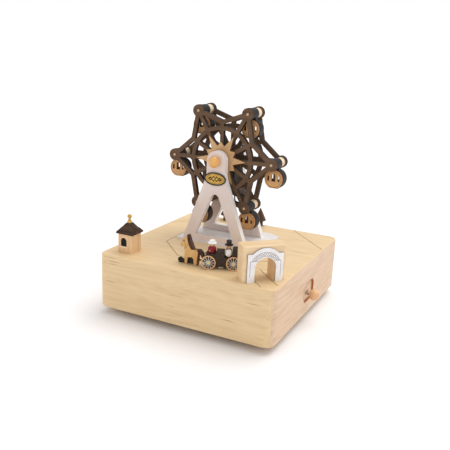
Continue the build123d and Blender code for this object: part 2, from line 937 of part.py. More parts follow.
with BuildPart() as badge_face:
    with BuildSketch(upright(axle_x, frame_front_y, axle_z - badge_drop)):
        Ellipse(badge_inner_x - seat_fit, badge_inner_y - seat_fit)
    extrude(amount=badge_face_thickness)
badge_face.part.label = "badge_face"
export_step(badge_face.part, "parts/badge_face.step")

# The wheel.

cap_front_y = frame_front_y - collar_gap
axle_front_y = cap_front_y - cap_flat
axle_back_y = belt_y + pulley_width / 2 + axle_tail

with BuildPart() as wheel_axle:
    with BuildSketch(upright(axle_x, axle_back_y, axle_z)):
        Circle(axle_radius)
    extrude(amount=axle_back_y - axle_front_y)
wheel_axle.part.label = "wheel_axle"
export_step(wheel_axle.part, "parts/wheel_axle.step")

cap_back_y = belt_y + pulley_width / 2 + collar_gap


def cap_solid(face_y, way):
    """A ball with a flat face at face_y, drilled for the axle; way is -1 or 1."""
    centre_y = face_y + way * (cap_radius - cap_cut)
    with BuildPart() as cap:
        with Locations((axle_x, centre_y, axle_z)):
            Sphere(cap_radius)
        with Locations((axle_x, face_y - way * cap_radius, axle_z)):
            Box(3 * cap_radius, 2 * cap_radius, 3 * cap_radius, mode=Mode.SUBTRACT)
        with BuildSketch(upright(axle_x, face_y, axle_z)):
            Circle(axle_radius + seat_fit)
        extrude(amount=-way * (cap_flat + cap_bore_spare), mode=Mode.SUBTRACT)
    return cap.part


with BuildPart() as axle_caps:
    add(cap_solid(cap_front_y, -1))
    add(cap_solid(cap_back_y, 1))
axle_caps.part.label = "axle_caps"
export_step(axle_caps.part, "parts/axle_caps.step")


def star_profile():
    """Six tips on the pin circle, six notches between them, twelve spokes and a ring."""
    step = 180 / spoke_count
    with BuildSketch() as star:
        for i in range(spoke_count):
            tip = polar(pin_circle_radius, 2 * i * step + wheel_turn)
            for side in (-1, 1):
                notch = polar(notch_radius, (2 * i + side) * step + wheel_turn)
                with BuildLine():
                    bar = Line(tip, notch)
                slope = Vector(1, 0, 0).get_signed_angle(bar % 0.5, Vector(0, 0, 1))
                with Locations(bar @ 0.5):
                    SlotOverall(bar.length + rim_bar, rim_bar, rotation=slope)
        for i in range(2 * spoke_count):
            reach = pin_circle_radius if i % 2 == 0 else notch_radius
            with Locations(polar(reach / 2, i * step + wheel_turn)):
                Rectangle(reach, spoke_bar, rotation=i * step + wheel_turn)
        Circle(spoke_ring_radius + ring_bar / 2)
        with BuildSketch(mode=Mode.SUBTRACT):
            Circle(spoke_ring_radius - ring_bar / 2)
            for i in range(2 * spoke_count):
                turn = i * step + wheel_turn
                with Locations(polar(pin_circle_radius / 2, turn)):
                    Rectangle(pin_circle_radius, spoke_bar, rotation=turn, mode=Mode.SUBTRACT)
            Circle(hub_disc_radius, mode=Mode.SUBTRACT)
        with PolarLocations(pin_circle_radius, spoke_count, start_angle=wheel_turn):
            Circle(tip_radius)
        Circle(hub_disc_radius)
        Circle(axle_radius + seat_fit, mode=Mode.SUBTRACT)
        with PolarLocations(pin_circle_radius, spoke_count, start_angle=wheel_turn):
            Circle(pin_radius + seat_fit, mode=Mode.SUBTRACT)
    return star.sketch


with BuildPart() as front_star:
    with BuildSketch(upright(axle_x, star_back_y, axle_z)):
        add(star_profile())
    extrude(amount=star_thickness)
front_star.part.label = "front_star"
export_step(front_star.part, "parts/front_star.step")

with BuildPart() as rear_star:
    with BuildSketch(upright(axle_x, rear_star_back, axle_z)):
        add(star_profile())
    extrude(amount=star_thickness)
rear_star.part.label = "rear_star"
export_step(rear_star.part, "parts/rear_star.step")

with BuildPart() as sunburst:
    with BuildSketch(upright(axle_x, star_front_y, axle_z)):
        with BuildLine():
            points = []
            for i in range(4 * spoke_count):
                reach = (sun_long, sun_valley, sun_short, sun_valley)[i % 4]
                points.append(polar(reach, i * 90 / spoke_count + wheel_turn))
            Polyline(*points, close=True)
        make_face()
        Circle(axle_radius + seat_fit, mode=Mode.SUBTRACT)
    extrude(amount=sun_thickness)
sunburst.part.label = "sunburst"
export_step(sunburst.part, "parts/sunburst.step")

front_collar = (front_inner_y + collar_gap, star_front_y - sun_thickness)
mid_hub = (star_back_y, rear_star_y)
rear_collar = (rear_star_back, rear_inner_y - collar_gap)

with BuildPart() as hub_spacers:
    collars = [(*front_collar, collar_radius), (*mid_hub, hub_radius), (*rear_collar, collar_radius)]
    for near, far, radius in collars:
        with BuildSketch(upright(axle_x, far, axle_z)):
            Circle(radius)
            Circle(axle_radius + seat_fit, mode=Mode.SUBTRACT)
        extrude(amount=far - near)
hub_spacers.part.label = "hub_spacers"
export_step(hub_spacers.part, "parts/hub_spacers.step")

with BuildPart() as gondola_pins:
    with BuildSketch(upright(axle_x, rear_star_back + pin_proud, axle_z)):
        with PolarLocations(pin_circle_radius, spoke_count, start_angle=wheel_turn):
            Circle(pin_radius)
    extrude(amount=rear_star_back - star_front_y + 2 * pin_proud)
gondola_pins.part.label = "gondola_pins"
export_step(gondola_pins.part, "parts/gondola_pins.step")

with BuildPart() as pin_spacers:
    with BuildSketch(upright(axle_x, rear_star_y, axle_z)):
        with PolarLocations(pin_circle_radius, spoke_count, start_angle=wheel_turn):
            Circle(spacer_radius)
            Circle(pin_radius + seat_fit, mode=Mode.SUBTRACT)
    extrude(amount=rear_star_y - head_back - gondola_gap)
pin_spacers.part.label = "pin_spacers"
export_step(pin_spacers.part, "parts/pin_spacers.step")

with BuildPart() as axle_pulley:
    add(pulley_solid(axle_x, axle_z, large_pulley_radius))
    with BuildSketch(upright(axle_x, belt_y + pulley_width, axle_z)):
        Circle(axle_radius + seat_fit)
    extrude(amount=2 * pulley_width, mode=Mode.SUBTRACT)
axle_pulley.part.label = "axle_pulley"
export_step(axle_pulley.part, "parts/axle_pulley.step")

# Gondolas.


def drum_outline(radius, flat):
    """A circle under the pin with a flat bottom."""
    with BuildSketch() as outline:
        with Locations((0, -gondola_drop)):
            Circle(radius)
        with Locations((0, -gondola_drop - flat - radius)):
            Rectangle(4 * radius, 2 * radius, mode=Mode.SUBTRACT)
    return outline.sketch


def board_outline():
    """A round board with three arched windows, cut clear of the head."""
    with BuildSketch() as board:
        add(drum_outline(gondola_drum_radius - panel_margin, gondola_flat - panel_margin))
        Circle(gondola_head_radius + panel_glue, mode=Mode.SUBTRACT)
        add(arched(window_wide, window_tall, window_sill - gondola_drop), mode=Mode.SUBTRACT)
        for side in (-window_pitch, window_pitch):
            add(arched(window_narrow, window_short, side_sill - gondola_drop, side), mode=Mode.SUBTRACT)
    return board.sketch


def build_gondola(angle):
    """One gondola that hangs from its pin: a shell with its head, and a pierced board at each end."""
    across, up = polar(pin_circle_radius, angle)
    pin_x = axle_x + across
    pin_z = axle_z + up
    shell_back = drum_back - panel_board - panel_glue
    shell_depth = gondola_depth - 2 * (panel_board + panel_glue)
    with BuildPart() as gondola:
        with BuildSketch(upright(pin_x, shell_back, pin_z)):
            add(drum_outline(gondola_drum_radius, gondola_flat))
        extrude(amount=shell_depth)
        with BuildSketch(upright(pin_x, head_back, pin_z)):
            Circle(gondola_head_radius)
        extrude(amount=gondola_head_depth)
        with BuildSketch(upright(pin_x, head_back, pin_z)):
            with Locations((0, -gondola_head_radius)):
                Rectangle(gondola_neck, 2 * gondola_head_radius)
        extrude(amount=head_back - shell_back + shell_depth)
        with BuildSketch(upright(pin_x, shell_back, pin_z)):
            add(drum_outline(gondola_drum_radius - gondola_wall, gondola_flat - gondola_wall))
        extrude(amount=shell_depth, mode=Mode.SUBTRACT)
        with BuildSketch(upright(pin_x, shell_back, pin_z)):
            Circle(spacer_radius + rub_gap)
        extrude(amount=shell_back - head_back, mode=Mode.SUBTRACT)
        with BuildSketch(upright(pin_x, head_back, pin_z)):
            Circle(pin_radius + running_fit)
        extrude(amount=gondola_head_depth, mode=Mode.SUBTRACT)
        for board_back in (drum_front + panel_board, drum_back):
            with BuildSketch(upright(pin_x, board_back, pin_z)):
                add(board_outline())
            extrude(amount=panel_board)
    return gondola


for i in range(spoke_count):
    gondola = build_gondola(i * 360 / spoke_count + wheel_turn)
    gondola.part.label = f"gondola_{i + 1}"
    export_step(gondola.part, f"parts/gondola_{i + 1}.step")

# The carriage.

half_body = body_width / 2
body_points = [
    (10.6, body_clear),
    (10.8, 6.5),
    (9.6, driver_seat),
    (3.2, driver_seat),
    (3.2, 12.3),
    (-1.9, 12.3),
    (-2.1, passenger_seat),
    (-7.0, passenger_seat),
    (-7.2, 14.2),
    (-10.8, 14.4),
    (-11.2, body_clear),
]

with BuildPart() as carriage_body:
    with BuildSketch(road_side(carriage_angle, half_body)):
        with BuildLine():
            Polyline(*body_points, close=True)
        make_face()
        with Locations((wheel_base / 2, wheel_radius), (-wheel_base / 2, wheel_radius)):
            Circle(wheel_axle_radius + running_fit, mode=Mode.SUBTRACT)
    extrude(amount=body_width)
carriage_body.part.label = "carriage_body"
export_step(carriage_body.part, "parts/carriage_body.step")


def spoked_wheel():
    """A road wheel's outline: a rim, a hub bored for its axle and spokes between them."""
    with BuildSketch() as wheel:
        Circle(wheel_radius)
        Circle(wheel_radius - wheel_rim, mode=Mode.SUBTRACT)
        with PolarLocations(wheel_radius / 2, wheel_spokes):
            Rectangle(wheel_radius - wheel_rim / 2, wheel_spoke)
        Circle(wheel_hub_radius)
        Circle(wheel_axle_radius + seat_fit, mode=Mode.SUBTRACT)
    return wheel.sketch


def build_wheel_set(along):
    """Two road wheels and the axle that joins them."""
    half = wheel_track / 2
    with BuildPart() as wheel_set:
        for across in (half + wheel_width / 2, -half + wheel_width / 2):
            with BuildSketch(road_side(carriage_angle, across)):
                with Locations((along, wheel_radius)):
                    add(spoked_wheel())
            extrude(amount=wheel_width)
        with BuildSketch(road_side(carriage_angle, half + wheel_width / 2)):
            with Locations((along, wheel_radius)):
                Circle(wheel_axle_radius)
        extrude(amount=wheel_track + wheel_width)
    return wheel_set


front_wheels = build_wheel_set(wheel_base / 2)
front_wheels.part.label = "front_wheels"
export_step(front_wheels.part, "parts/front_wheels.step")

rear_wheels = build_wheel_set(-wheel_base / 2)
rear_wheels.part.label = "rear_wheels"
export_step(rear_wheels.part, "parts/rear_wheels.step")

carriage_spot = road_plane(carriage_angle)


def build_doll(along, seat, belly):
    """A peg doll turned in one piece, with its hat as a second solid."""
    neck = seat + 4.4
    brim = neck + 2 * doll_head_radius - 0.7
    spot = carriage_spot.from_local_coords(Vector(along, 0, 0))
    centre = Axis((spot.X, spot.Y, 0), (0, 0, 1))
    cut = Plane(origin=(spot.X, spot.Y, road_z), x_dir=carriage_spot.x_dir, z_dir=-carriage_spot.y_dir)
    with BuildPart() as doll:
        with BuildSketch(cut):
            with BuildLine():
                Polyline(
                    (0, seat),
                    (doll_radius, seat),
                    (doll_radius, seat + 2.8),
                    (doll_head_radius * 0.7, neck),
                    (doll_head_radius, neck + doll_head_radius * 0.6),
                    (doll_head_radius, brim - 0.05),
                    (0, brim - 0.05),
                    close=True,
                )
            make_face()
        revolve(axis=centre)
        if belly:
            with Locations(carriage_spot.from_local_coords(Vector(along, doll_radius - 0.6, seat + 2.3))):
                Sphere(belly)
        with BuildSketch(cut):
            with BuildLine():
                Polyline(
                    (0, brim),
                    (hat_brim_radius, brim),
                    (hat_brim_radius, brim + 0.6),
                    (hat_crown_radius, brim + 0.8),
                    (hat_crown_radius, brim + 3.7),
                    (0, brim + 3.7),
                    close=True,
                )
            make_face()
        revolve(axis=centre)
    return doll


driver = build_doll(driver_x, driver_seat, 0)
driver.part.label = "driver"
export_step(driver.part, "parts/driver.step")

passenger = build_doll(passenger_x, passenger_seat + 0.1, 2.3)
passenger.part.label = "passenger"
export_step(passenger.part, "parts/passenger.step")

# The horse, cut in layers.

horse_outline = [
    (7.4, 12.5),
    (6.6, 11.3),
    (4.9, 12.3),
    (4.3, 9.0),
    (4.5, 5.4),
    (4.1, 0.3),
    (2.4, 0.3),
    (2.1, 5.0),
    (-1.2, 5.5),
    (-2.4, 4.4),
    (-2.7, 0.3),
    (-4.7, 0.3),
    (-5.0, 5.0),
    (-5.6, 9.3),
    (-4.7, 11.0),
    (-0.5, 10.6),
    (1.4, 13.2),
    (2.5, 18.2),
    (2.9, 20.0),
    (3.8, 18.5),
    (5.3, 17.5),
    (6.6, 15.0),
]
core_half = horse_core_thickness / 2
side_start = core_half + horse_layer_gap

with BuildPart() as horse:
    with BuildSketch(road_side(horse_angle, core_half)):
        with BuildLine():
            Polyline(*horse_outline, close=True)
        make_face()
        with Locations((2.6, 2.5)):
            Rectangle(5.0, 5.2, mode=Mode.SUBTRACT)
    extrude(amount=horse_core_thickness)
    for start in (side_start + horse_side_thickness, -side_start):
        with BuildSketch(road_side(horse_angle, start)):
            with BuildLine():
                Polyline(*horse_outline, close=True)
            make_face()
        extrude(amount=horse_side_thickness)
horse.part.label = "horse"
export_step(horse.part, "parts/horse.step")

mane_points = [
    (2.42, 18.5),
    (2.8, 20.3),
    (1.7, 20.0),
    (0.2, 16.0),
    (-1.6, 12.4),
    (-2.2, 10.9),
    (-0.6, 10.75),
    (1.3, 13.3),
]
tail_points = [
    (-5.7, 9.3),
    (-4.85, 11.15),
    (-6.6, 11.5),
    (-8.3, 10.0),
    (-9.2, 6.6),
    (-8.4, 5.3),
    (-7.2, 7.5),
    (-6.3, 8.8),
]

with BuildPart() as mane_and_tail:
    for points in (mane_points, tail_points):
        with BuildSketch(road_side(horse_angle, core_half)):
            with BuildLine():
                Polyline(*points, close=True)
            make_face()
        extrude(amount=horse_core_thickness)
mane_and_tail.part.label = "mane_and_tail"
export_step(mane_and_tail.part, "parts/mane_and_tail.step")

truck_half = truck_width / 2
fork_half = guide_width / 2 + fork_gap
fork_outer = fork_half + fork_thickness

hitch_front = road_plane(horse_angle, hitch_height).from_local_coords(Vector(-5.25, 0, 0))
hitch_rear = road_plane(carriage_angle, hitch_height).from_local_coords(Vector(10.95, 0, 0))
hitch_run = hitch_front - hitch_rear

with BuildPart() as horse_truck:
    with BuildSketch(road_side(horse_angle, truck_half)):
        with BuildLine():
            Polyline((-1.9, 0.6), (6.3, 0.6), (6.3, 2.6), (1.9, 2.6), (1.9, 4.6), (-1.9, 4.6), close=True)
        make_face()
    extrude(amount=truck_width)
    with BuildSketch(road_side(horse_angle, fork_outer)):
        with BuildLine():
            Polyline((5.2, 0.6), (6.3, 0.6), (6.3, 2.6), (5.2, 2.6), close=True)
        make_face()
    extrude(amount=2 * fork_outer)
    for start in (fork_outer, -fork_half):
        with BuildSketch(road_side(horse_angle, start)):
            with BuildLine():
                Polyline((5.2, 0.9), (guide_x + 0.8, 0.9), (guide_x + 0.8, 2.5), (5.2, 2.5), close=True)
            make_face()
            with Locations((guide_x, guide_radius)):
                Circle(guide_pin_radius + running_fit, mode=Mode.SUBTRACT)
        extrude(amount=fork_thickness)
    with BuildSketch(Plane(origin=hitch_rear, z_dir=hitch_run)):
        Circle(hitch_radius)
    extrude(amount=hitch_run.length)
horse_truck.part.label = "horse_truck"
export_step(horse_truck.part, "parts/horse_truck.step")

with BuildPart() as guide_wheel:
    with BuildSketch(road_side(horse_angle, guide_width / 2)):
        with Locations((guide_x, guide_radius)):
            Circle(guide_radius)
    extrude(amount=guide_width)
    with BuildSketch(road_side(horse_angle, fork_outer)):
        with Locations((guide_x, guide_radius)):
            Circle(guide_pin_radius)
    extrude(amount=2 * fork_outer)
guide_wheel.part.label = "guide_wheel"
export_step(guide_wheel.part, "parts/guide_wheel.step")

with BuildPart() as road_magnets:
    with BuildSketch(road_plane(carriage_angle, body_magnet_lift)):
        Circle(body_magnet_radius)
    extrude(amount=body_clear - body_magnet_lift)
    with BuildSketch(road_plane(horse_angle, horse_magnet_lift)):
        Rectangle(horse_magnet_length, truck_width)
    extrude(amount=horse_magnet_height)
road_magnets.part.label = "road_magnets"
export_step(road_magnets.part, "parts/road_magnets.step")

# The gate.

gate_face = Plane(
    origin=(gate_reach / sqrt(2), -gate_reach / sqrt(2), top_z),
    x_dir=(1, 1, 0),
    z_dir=(1, -1, 0),
)

with BuildPart() as gate_block:
    with BuildSketch(gate_plane):
        RectangleRounded(gate_width, gate_depth, gate_corner)
    extrude(amount=gate_height)
    fillet(gate_block.faces().sort_by(Axis.Z)[-1].edges(), gate_edge)
    with BuildSketch(gate_face.offset(-gate_depth)):
        add(arched(tunnel_width, tunnel_height))
    extrude(amount=2 * gate_depth, mode=Mode.SUBTRACT)
gate_block.part.label = "gate_block"
export_step(gate_block.part, "parts/gate_block.step")

with BuildPart() as gate_arch:
    with BuildSketch(gate_face.offset(gate_depth / 2)):
        with Locations((0, arch_leg_height / 2)):
            Rectangle(arch_width, arch_leg_height)
        with BuildLine():
            ThreePointArc(
                (-arch_crown_width / 2, arch_leg_height),
                (0, arch_height),
                (arch_crown_width / 2, arch_leg_height),
            )
            Line((arch_crown_width / 2, arch_leg_height), (-arch_crown_width / 2, arch_leg_height))
        make_face()
        add(arched(tunnel_width, tunnel_height), mode=Mode.SUBTRACT)
    extrude(amount=arch_thickness)
gate_arch.part.label = "gate_arch"
export_step(gate_arch.part, "parts/gate_arch.step")

# The house.

house_front = house_y - house_side / 2

with BuildPart() as house_body:
    with BuildSketch(Plane.XY.offset(top_z)):
        with Locations((house_x, house_y)):
            RectangleRounded(house_side, house_side, house_corner)
    extrude(amount=house_height)
    with BuildSketch(upright(house_x + pane_shift, house_front + pane_depth, top_z)):
        add(arched(pane_width, pane_height, pane_sill))
    extrude(amount=pane_depth + 1.0, mode=Mode.SUBTRACT)
    with BuildSketch(upright(house_x + pane_shift, house_front + 0.2, top_z)):
        with Locations((0, pane_sill - sill_height / 2)):
            Rectangle(sill_width, sill_height)
    extrude(amount=sill_depth + 0.2)
house_body.part.label = "house_body"
export_step(house_body.part, "parts/house_body.step")

with BuildPart() as house_window:
    with BuildSketch(upright(house_x + pane_shift, house_front + pane_depth, top_z)):
        add(arched(pane_width - 2 * seat_fit, pane_height - 2 * seat_fit, pane_sill + seat_fit))
    extrude(amount=pane_thickness)
house_window.part.label = "house_window"
export_step(house_window.part, "parts/house_window.step")

roof_z = top_z + house_height
roof_steps = [(0.0, roof_side), (0.9, roof_side), (2.6, 10.6), (4.8, 6.3), (roof_height, roof_top)]

with BuildPart() as house_roof:
    for (low, low_side), (high, high_side) in zip(roof_steps, roof_steps[1:]):
        with BuildSketch(Plane.XY.offset(roof_z + low)):
            with Locations((house_x, house_y)):
                Rectangle(low_side, low_side)
        with BuildSketch(Plane.XY.offset(roof_z + high)):
            with Locations((house_x, house_y)):
                Rectangle(high_side, high_side)
        loft(ruled=True)
house_roof.part.label = "house_roof"
export_step(house_roof.part, "parts/house_roof.step")

finial_z = roof_z + roof_height
ball_z = finial_height - finial_ball_radius

with BuildPart() as house_finial:
    with BuildSketch(upright(house_x, house_y, finial_z)):
        with BuildLine():
            Polyline(
                (0, 0),
                (finial_base_radius, 0),
                (finial_base_radius, 0.5),
                (0.75, 2.5),
                (0, 2.5),
                close=True,
            )
        make_face()
    revolve(axis=Axis((house_x, house_y, 0), (0, 0, 1)))
    with Locations((house_x, house_y, finial_z + ball_z)):
        Sphere(finial_ball_radius)
house_finial.part.label = "house_finial"
export_step(house_finial.part, "parts/house_finial.step")

# The trees.

with BuildPart() as fir_trees:
    for x, y in tree_spots:
        with BuildSketch(upright(x, y, top_z)):
            with BuildLine():
                Polyline(
                    (0, 0),
                    (trunk_radius, 0),
                    (trunk_radius, trunk_height),
                    (tree_radius, trunk_height),
                    (tree_radius, trunk_height + 0.6),
                    (0, tree_height),
                    close=True,
                )
            make_face()
        revolve(axis=Axis((x, y, 0), (0, 0, 1)))
fir_trees.part.label = "fir_trees"
export_step(fir_trees.part, "parts/fir_trees.step")
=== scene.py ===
from math import atan2, cos, radians, sin, sqrt
import bpy
from mathutils import Matrix, Vector


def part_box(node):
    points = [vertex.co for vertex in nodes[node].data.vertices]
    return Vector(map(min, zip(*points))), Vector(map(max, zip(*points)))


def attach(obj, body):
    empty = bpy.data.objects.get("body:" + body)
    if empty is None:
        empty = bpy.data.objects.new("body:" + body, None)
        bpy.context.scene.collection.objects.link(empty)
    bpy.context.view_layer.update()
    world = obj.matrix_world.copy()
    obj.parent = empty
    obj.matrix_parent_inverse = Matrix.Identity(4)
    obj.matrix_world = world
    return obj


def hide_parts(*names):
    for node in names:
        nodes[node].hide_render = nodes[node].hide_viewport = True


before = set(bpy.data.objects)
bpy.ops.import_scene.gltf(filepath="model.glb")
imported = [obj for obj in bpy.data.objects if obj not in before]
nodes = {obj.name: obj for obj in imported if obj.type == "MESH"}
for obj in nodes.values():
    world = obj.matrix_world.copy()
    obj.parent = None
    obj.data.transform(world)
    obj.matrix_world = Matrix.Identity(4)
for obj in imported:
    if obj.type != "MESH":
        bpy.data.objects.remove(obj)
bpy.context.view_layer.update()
print("frame loaded with", len(nodes), "nodes")

mm = 0.001
bumpDepth = 0.08 * mm
roughSwing = (-0.06, 0.08)


def boxCentre(name):
    low, high = (Vector(corner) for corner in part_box(name))
    return (low + high) / 2


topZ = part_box("frame_plate")[0].z
axleSpot = boxCentre("wheel_axle")


def shade(red, green, blue):
    # a colour as a paint chart gives it, 0 to 255, turned into the renderer's linear values
    given = (red / 255, green / 255, blue / 255)
    return tuple(c / 12.92 if c <= 0.04045 else ((c + 0.055) / 1.055) ** 2.4 for c in given) + (1.0,)


# small helpers for node trees

def addNode(tree, kind, at=(0, 0), **values):
    node = tree.nodes.new(kind)
    node.location = at
    for name, value in values.items():
        setattr(node, name, value)
    return node


def feed(tree, node, **inputs):
    # each input takes a plain value or another node's output, and n0, n1 are inputs by number
    for name, value in inputs.items():
        numbered = name[0] == "n" and name[1:].isdigit()
        socket = node.inputs[int(name[1:])] if numbered else node.inputs[name.replace("_", " ")]
        if isinstance(value, bpy.types.NodeSocket):
            tree.links.new(value, socket)
        else:
            socket.default_value = value
    return node


def calc(tree, operation, *values, at=(0, 0), clamp=False):
    node = addNode(tree, "ShaderNodeMath", at, operation=operation, use_clamp=clamp)
    for i, value in enumerate(values):
        feed(tree, node, **{f"n{i}": value})
    return node.outputs[0]


def blendColour(tree, factor, first, second, at=(0, 0)):
    node = addNode(tree, "ShaderNodeMix", at, data_type="RGBA", clamp_factor=True)
    feed(tree, node, n0=factor, n6=first, n7=second)
    return node.outputs[2]


def noise(tree, vector, scale, detail=3.0, at=(0, 0), roughness=0.5):
    node = addNode(tree, "ShaderNodeTexNoise", at)
    feed(tree, node, Vector=vector, Scale=scale, Detail=detail, Roughness=roughness)
    return node.outputs["Fac"]


def spread(tree, value, low, high, to=(0.0, 1.0), at=(0, 0)):
    node = addNode(tree, "ShaderNodeMapRange", at, interpolation_type="SMOOTHSTEP")
    feed(tree, node, Value=value, n1=low, n2=high, n3=to[0], n4=to[1])
    return node.outputs[0]


def stretch(tree, vector, factors, at=(0, 0)):
    node = addNode(tree, "ShaderNodeVectorMath", at, operation="MULTIPLY")
    feed(tree, node, n0=vector, n1=factors)
    return node.outputs[0]


def dot(tree, vector, other, at=(0, 0)):
    node = addNode(tree, "ShaderNodeVectorMath", at, operation="DOT_PRODUCT")
    feed(tree, node, n0=vector, n1=other)
    return node.outputs["Value"]


def newGroup(name, inputs, outputs):
    group = bpy.data.node_groups.new(name, "ShaderNodeTree")
    for label, kind, value in inputs:
        socket = group.interface.new_socket(name=label, in_out="INPUT", socket_type=kind)
        if value is not None:
            socket.default_value = value
    for label, kind in outputs:
        group.interface.new_socket(name=label, in_out="OUTPUT", socket_type=kind)
    given = addNode(group, "NodeGroupInput", (-900, 0))
    return group, given.outputs, addNode(group, "NodeGroupOutput", (900, 0))


def useGroup(tree, group, at=(0, 0), **inputs):
    return feed(tree, addNode(tree, "ShaderNodeGroup", at, node_tree=group), **inputs)


# wood that runs along the pattern's X: growth rings, fine fibres and a few dark flecks
grainLook = {
    "ringScale": (6.0, 60.0, 60.0),
    "fibreScale": (90.0, 2600.0, 2600.0),
    "broadScale": (25.0, 320.0, 320.0),
    "fleckScale": (34.0, 1500.0, 1500.0),
    "fibreShare": 0.3,
    "broadShare": 0.45,
    "fleckRange": (0.72, 0.78),
}
woodGrain, given, result = newGroup(
    "woodGrain",
    [
        ("Vector", "NodeSocketVector", None),
        ("Light", "NodeSocketColor", (0.7, 0.5, 0.3, 1)),
        ("Dark", "NodeSocketColor", (0.5, 0.3, 0.2, 1)),
        ("Fleck", "NodeSocketColor", (0.2, 0.1, 0.05, 1)),
        ("Rings", "NodeSocketFloat", 6.0),
        ("Ring Depth", "NodeSocketFloat", 0.4),
        ("Flecks", "NodeSocketFloat", 0.5),
    ],
    [("Color", "NodeSocketColor"), ("Fibre", "NodeSocketFloat")],
)
ringSpace = stretch(woodGrain, given["Vector"], grainLook["ringScale"], (-700, 200))
ringNoise = noise(woodGrain, ringSpace, 1.0, 2.0, (-520, 200))
ringPhase = calc(woodGrain, "MULTIPLY", ringNoise, given["Rings"], at=(-340, 200))
ringWave = calc(woodGrain, "SINE", ringPhase, at=(-160, 200))
ringTone = calc(woodGrain, "MULTIPLY_ADD", ringWave, 0.5, 0.5, at=(0, 200))
fibreSpace = stretch(woodGrain, given["Vector"], grainLook["fibreScale"], (-700, -50))
fibre = noise(woodGrain, fibreSpace, 1.0, 3.0, (-520, -50), 0.6)
broadSpace = stretch(woodGrain, given["Vector"], grainLook["broadScale"], (-700, -250))
broad = noise(woodGrain, broadSpace, 1.0, 3.0, (-520, -250), 0.55)
broadTone = spread(woodGrain, broad, 0.35, 0.7, (0.0, grainLook["broadShare"]), (-300, -250))
fibreTone = spread(woodGrain, fibre, 0.35, 0.75, (0.0, grainLook["fibreShare"]), (-300, -50))
tone = calc(woodGrain, "MULTIPLY", ringTone, given["Ring Depth"], at=(150, 200))
tone = calc(woodGrain, "ADD", tone, broadTone, at=(300, 150))
tone = calc(woodGrain, "ADD", tone, fibreTone, at=(430, 100), clamp=True)
plainWood = blendColour(woodGrain, tone, given["Light"], given["Dark"], (560, 150))
fleckSpace = stretch(woodGrain, given["Vector"], grainLook["fleckScale"], (-700, -450))
fleckNoise = noise(woodGrain, fleckSpace, 1.0, 1.0, (-520, -450))
fleckMask = spread(woodGrain, fleckNoise, *grainLook["fleckRange"], at=(-300, -450))
fleckMask = calc(woodGrain, "MULTIPLY", fleckMask, given["Flecks"], at=(-100, -450))
fleckedWood = blendColour(woodGrain, fleckMask, plainWood, given["Fleck"], (720, 100))
feed(woodGrain, result, Color=fleckedWood, Fibre=fibre)

# sides not square to the given axis: scorched by a laser on thin board, and painted light on the stand
edgeScorchAndLight, given, result = newGroup(
    "edgeScorchAndLight",
    [
        ("Normal", "NodeSocketVector", None),
        ("Axis", "NodeSocketVector", (0.0, 1.0, 0.0)),
        ("Vector", "NodeSocketVector", None),
    ],
    [("Mask", "NodeSocketFloat")],
)
facing = dot(edgeScorchAndLight, given["Normal"], given["Axis"], (-500, 100))
facing = calc(edgeScorchAndLight, "ABSOLUTE", facing, at=(-300, 100))
sideways = spread(edgeScorchAndLight, facing, 0.4, 0.85, (1.0, 0.0), (-100, 100))
smoke = noise(edgeScorchAndLight, given["Vector"], 900.0, 3.0, (-500, -150))
smoke = spread(edgeScorchAndLight, smoke, 0.2, 0.8, (0.8, 1.0), (-300, -150))
feed(edgeScorchAndLight, result, Mask=calc(edgeScorchAndLight, "MULTIPLY", sideways, smoke, at=(200, 0)))

# uneven paint, plastic and metal: a slow drift in tone and a fine skin
surfaceSkin, given, result = newGroup(
    "surfaceSkin",
    [
        ("Vector", "NodeSocketVector", None),
        ("Patch Scale", "NodeSocketFloat", 120.0),
        ("Skin Scale", "NodeSocketFloat", 2500.0),
    ],
    [("Patch", "NodeSocketFloat"), ("Skin", "NodeSocketFloat")],
)
patchSpace = addNode(surfaceSkin, "ShaderNodeVectorMath", (-700, 100), operation="SCALE")
feed(surfaceSkin, patchSpace, n0=given["Vector"], Scale=given["Patch Scale"])
skinSpace = addNode(surfaceSkin, "ShaderNodeVectorMath", (-700, -100), operation="SCALE")
feed(surfaceSkin, skinSpace, n0=given["Vector"], Scale=given["Skin Scale"])
patch = noise(surfaceSkin, patchSpace.outputs[0], 1.0, 3.0, (-500, 100))
skin = noise(surfaceSkin, skinSpace.outputs[0], 1.0, 2.0, (-500, -100))
feed(surfaceSkin, result, Patch=spread(surfaceSkin, patch, 0.3, 0.7, at=(-200, 100)), Skin=skin)

# 1 inside a box of the part's own space, 0 outside it
insideBox, given, result = newGroup(
    "insideBox",
    [
        ("Vector", "NodeSocketVector", None),
        ("Low", "NodeSocketVector", (0, 0, 0)),
        ("High", "NodeSocketVector", (1, 1, 1)),
    ],
    [("Mask", "NodeSocketFloat")],
)
tests = []
for i, (edge, operation) in enumerate((("Low", "GREATER_THAN"), ("High", "LESS_THAN"))):
    whole = addNode(insideBox, "ShaderNodeSeparateXYZ", (-600, 200 - 300 * i))
    limit = addNode(insideBox, "ShaderNodeSeparateXYZ", (-600, 50 - 300 * i))
    feed(insideBox, whole, n0=given["Vector"])
    feed(insideBox, limit, n0=given[edge])
    for k in range(3):
        test = calc(insideBox, operation, whole.outputs[k], limit.outputs[k], at=(-350, 200 - 90 * k))
        tests.append(test)
mask = tests[0]
for i, test in enumerate(tests[1:]):
    mask = calc(insideBox, "MULTIPLY", mask, test, at=(-100 + 120 * i, 0))
feed(insideBox, result, Mask=mask)

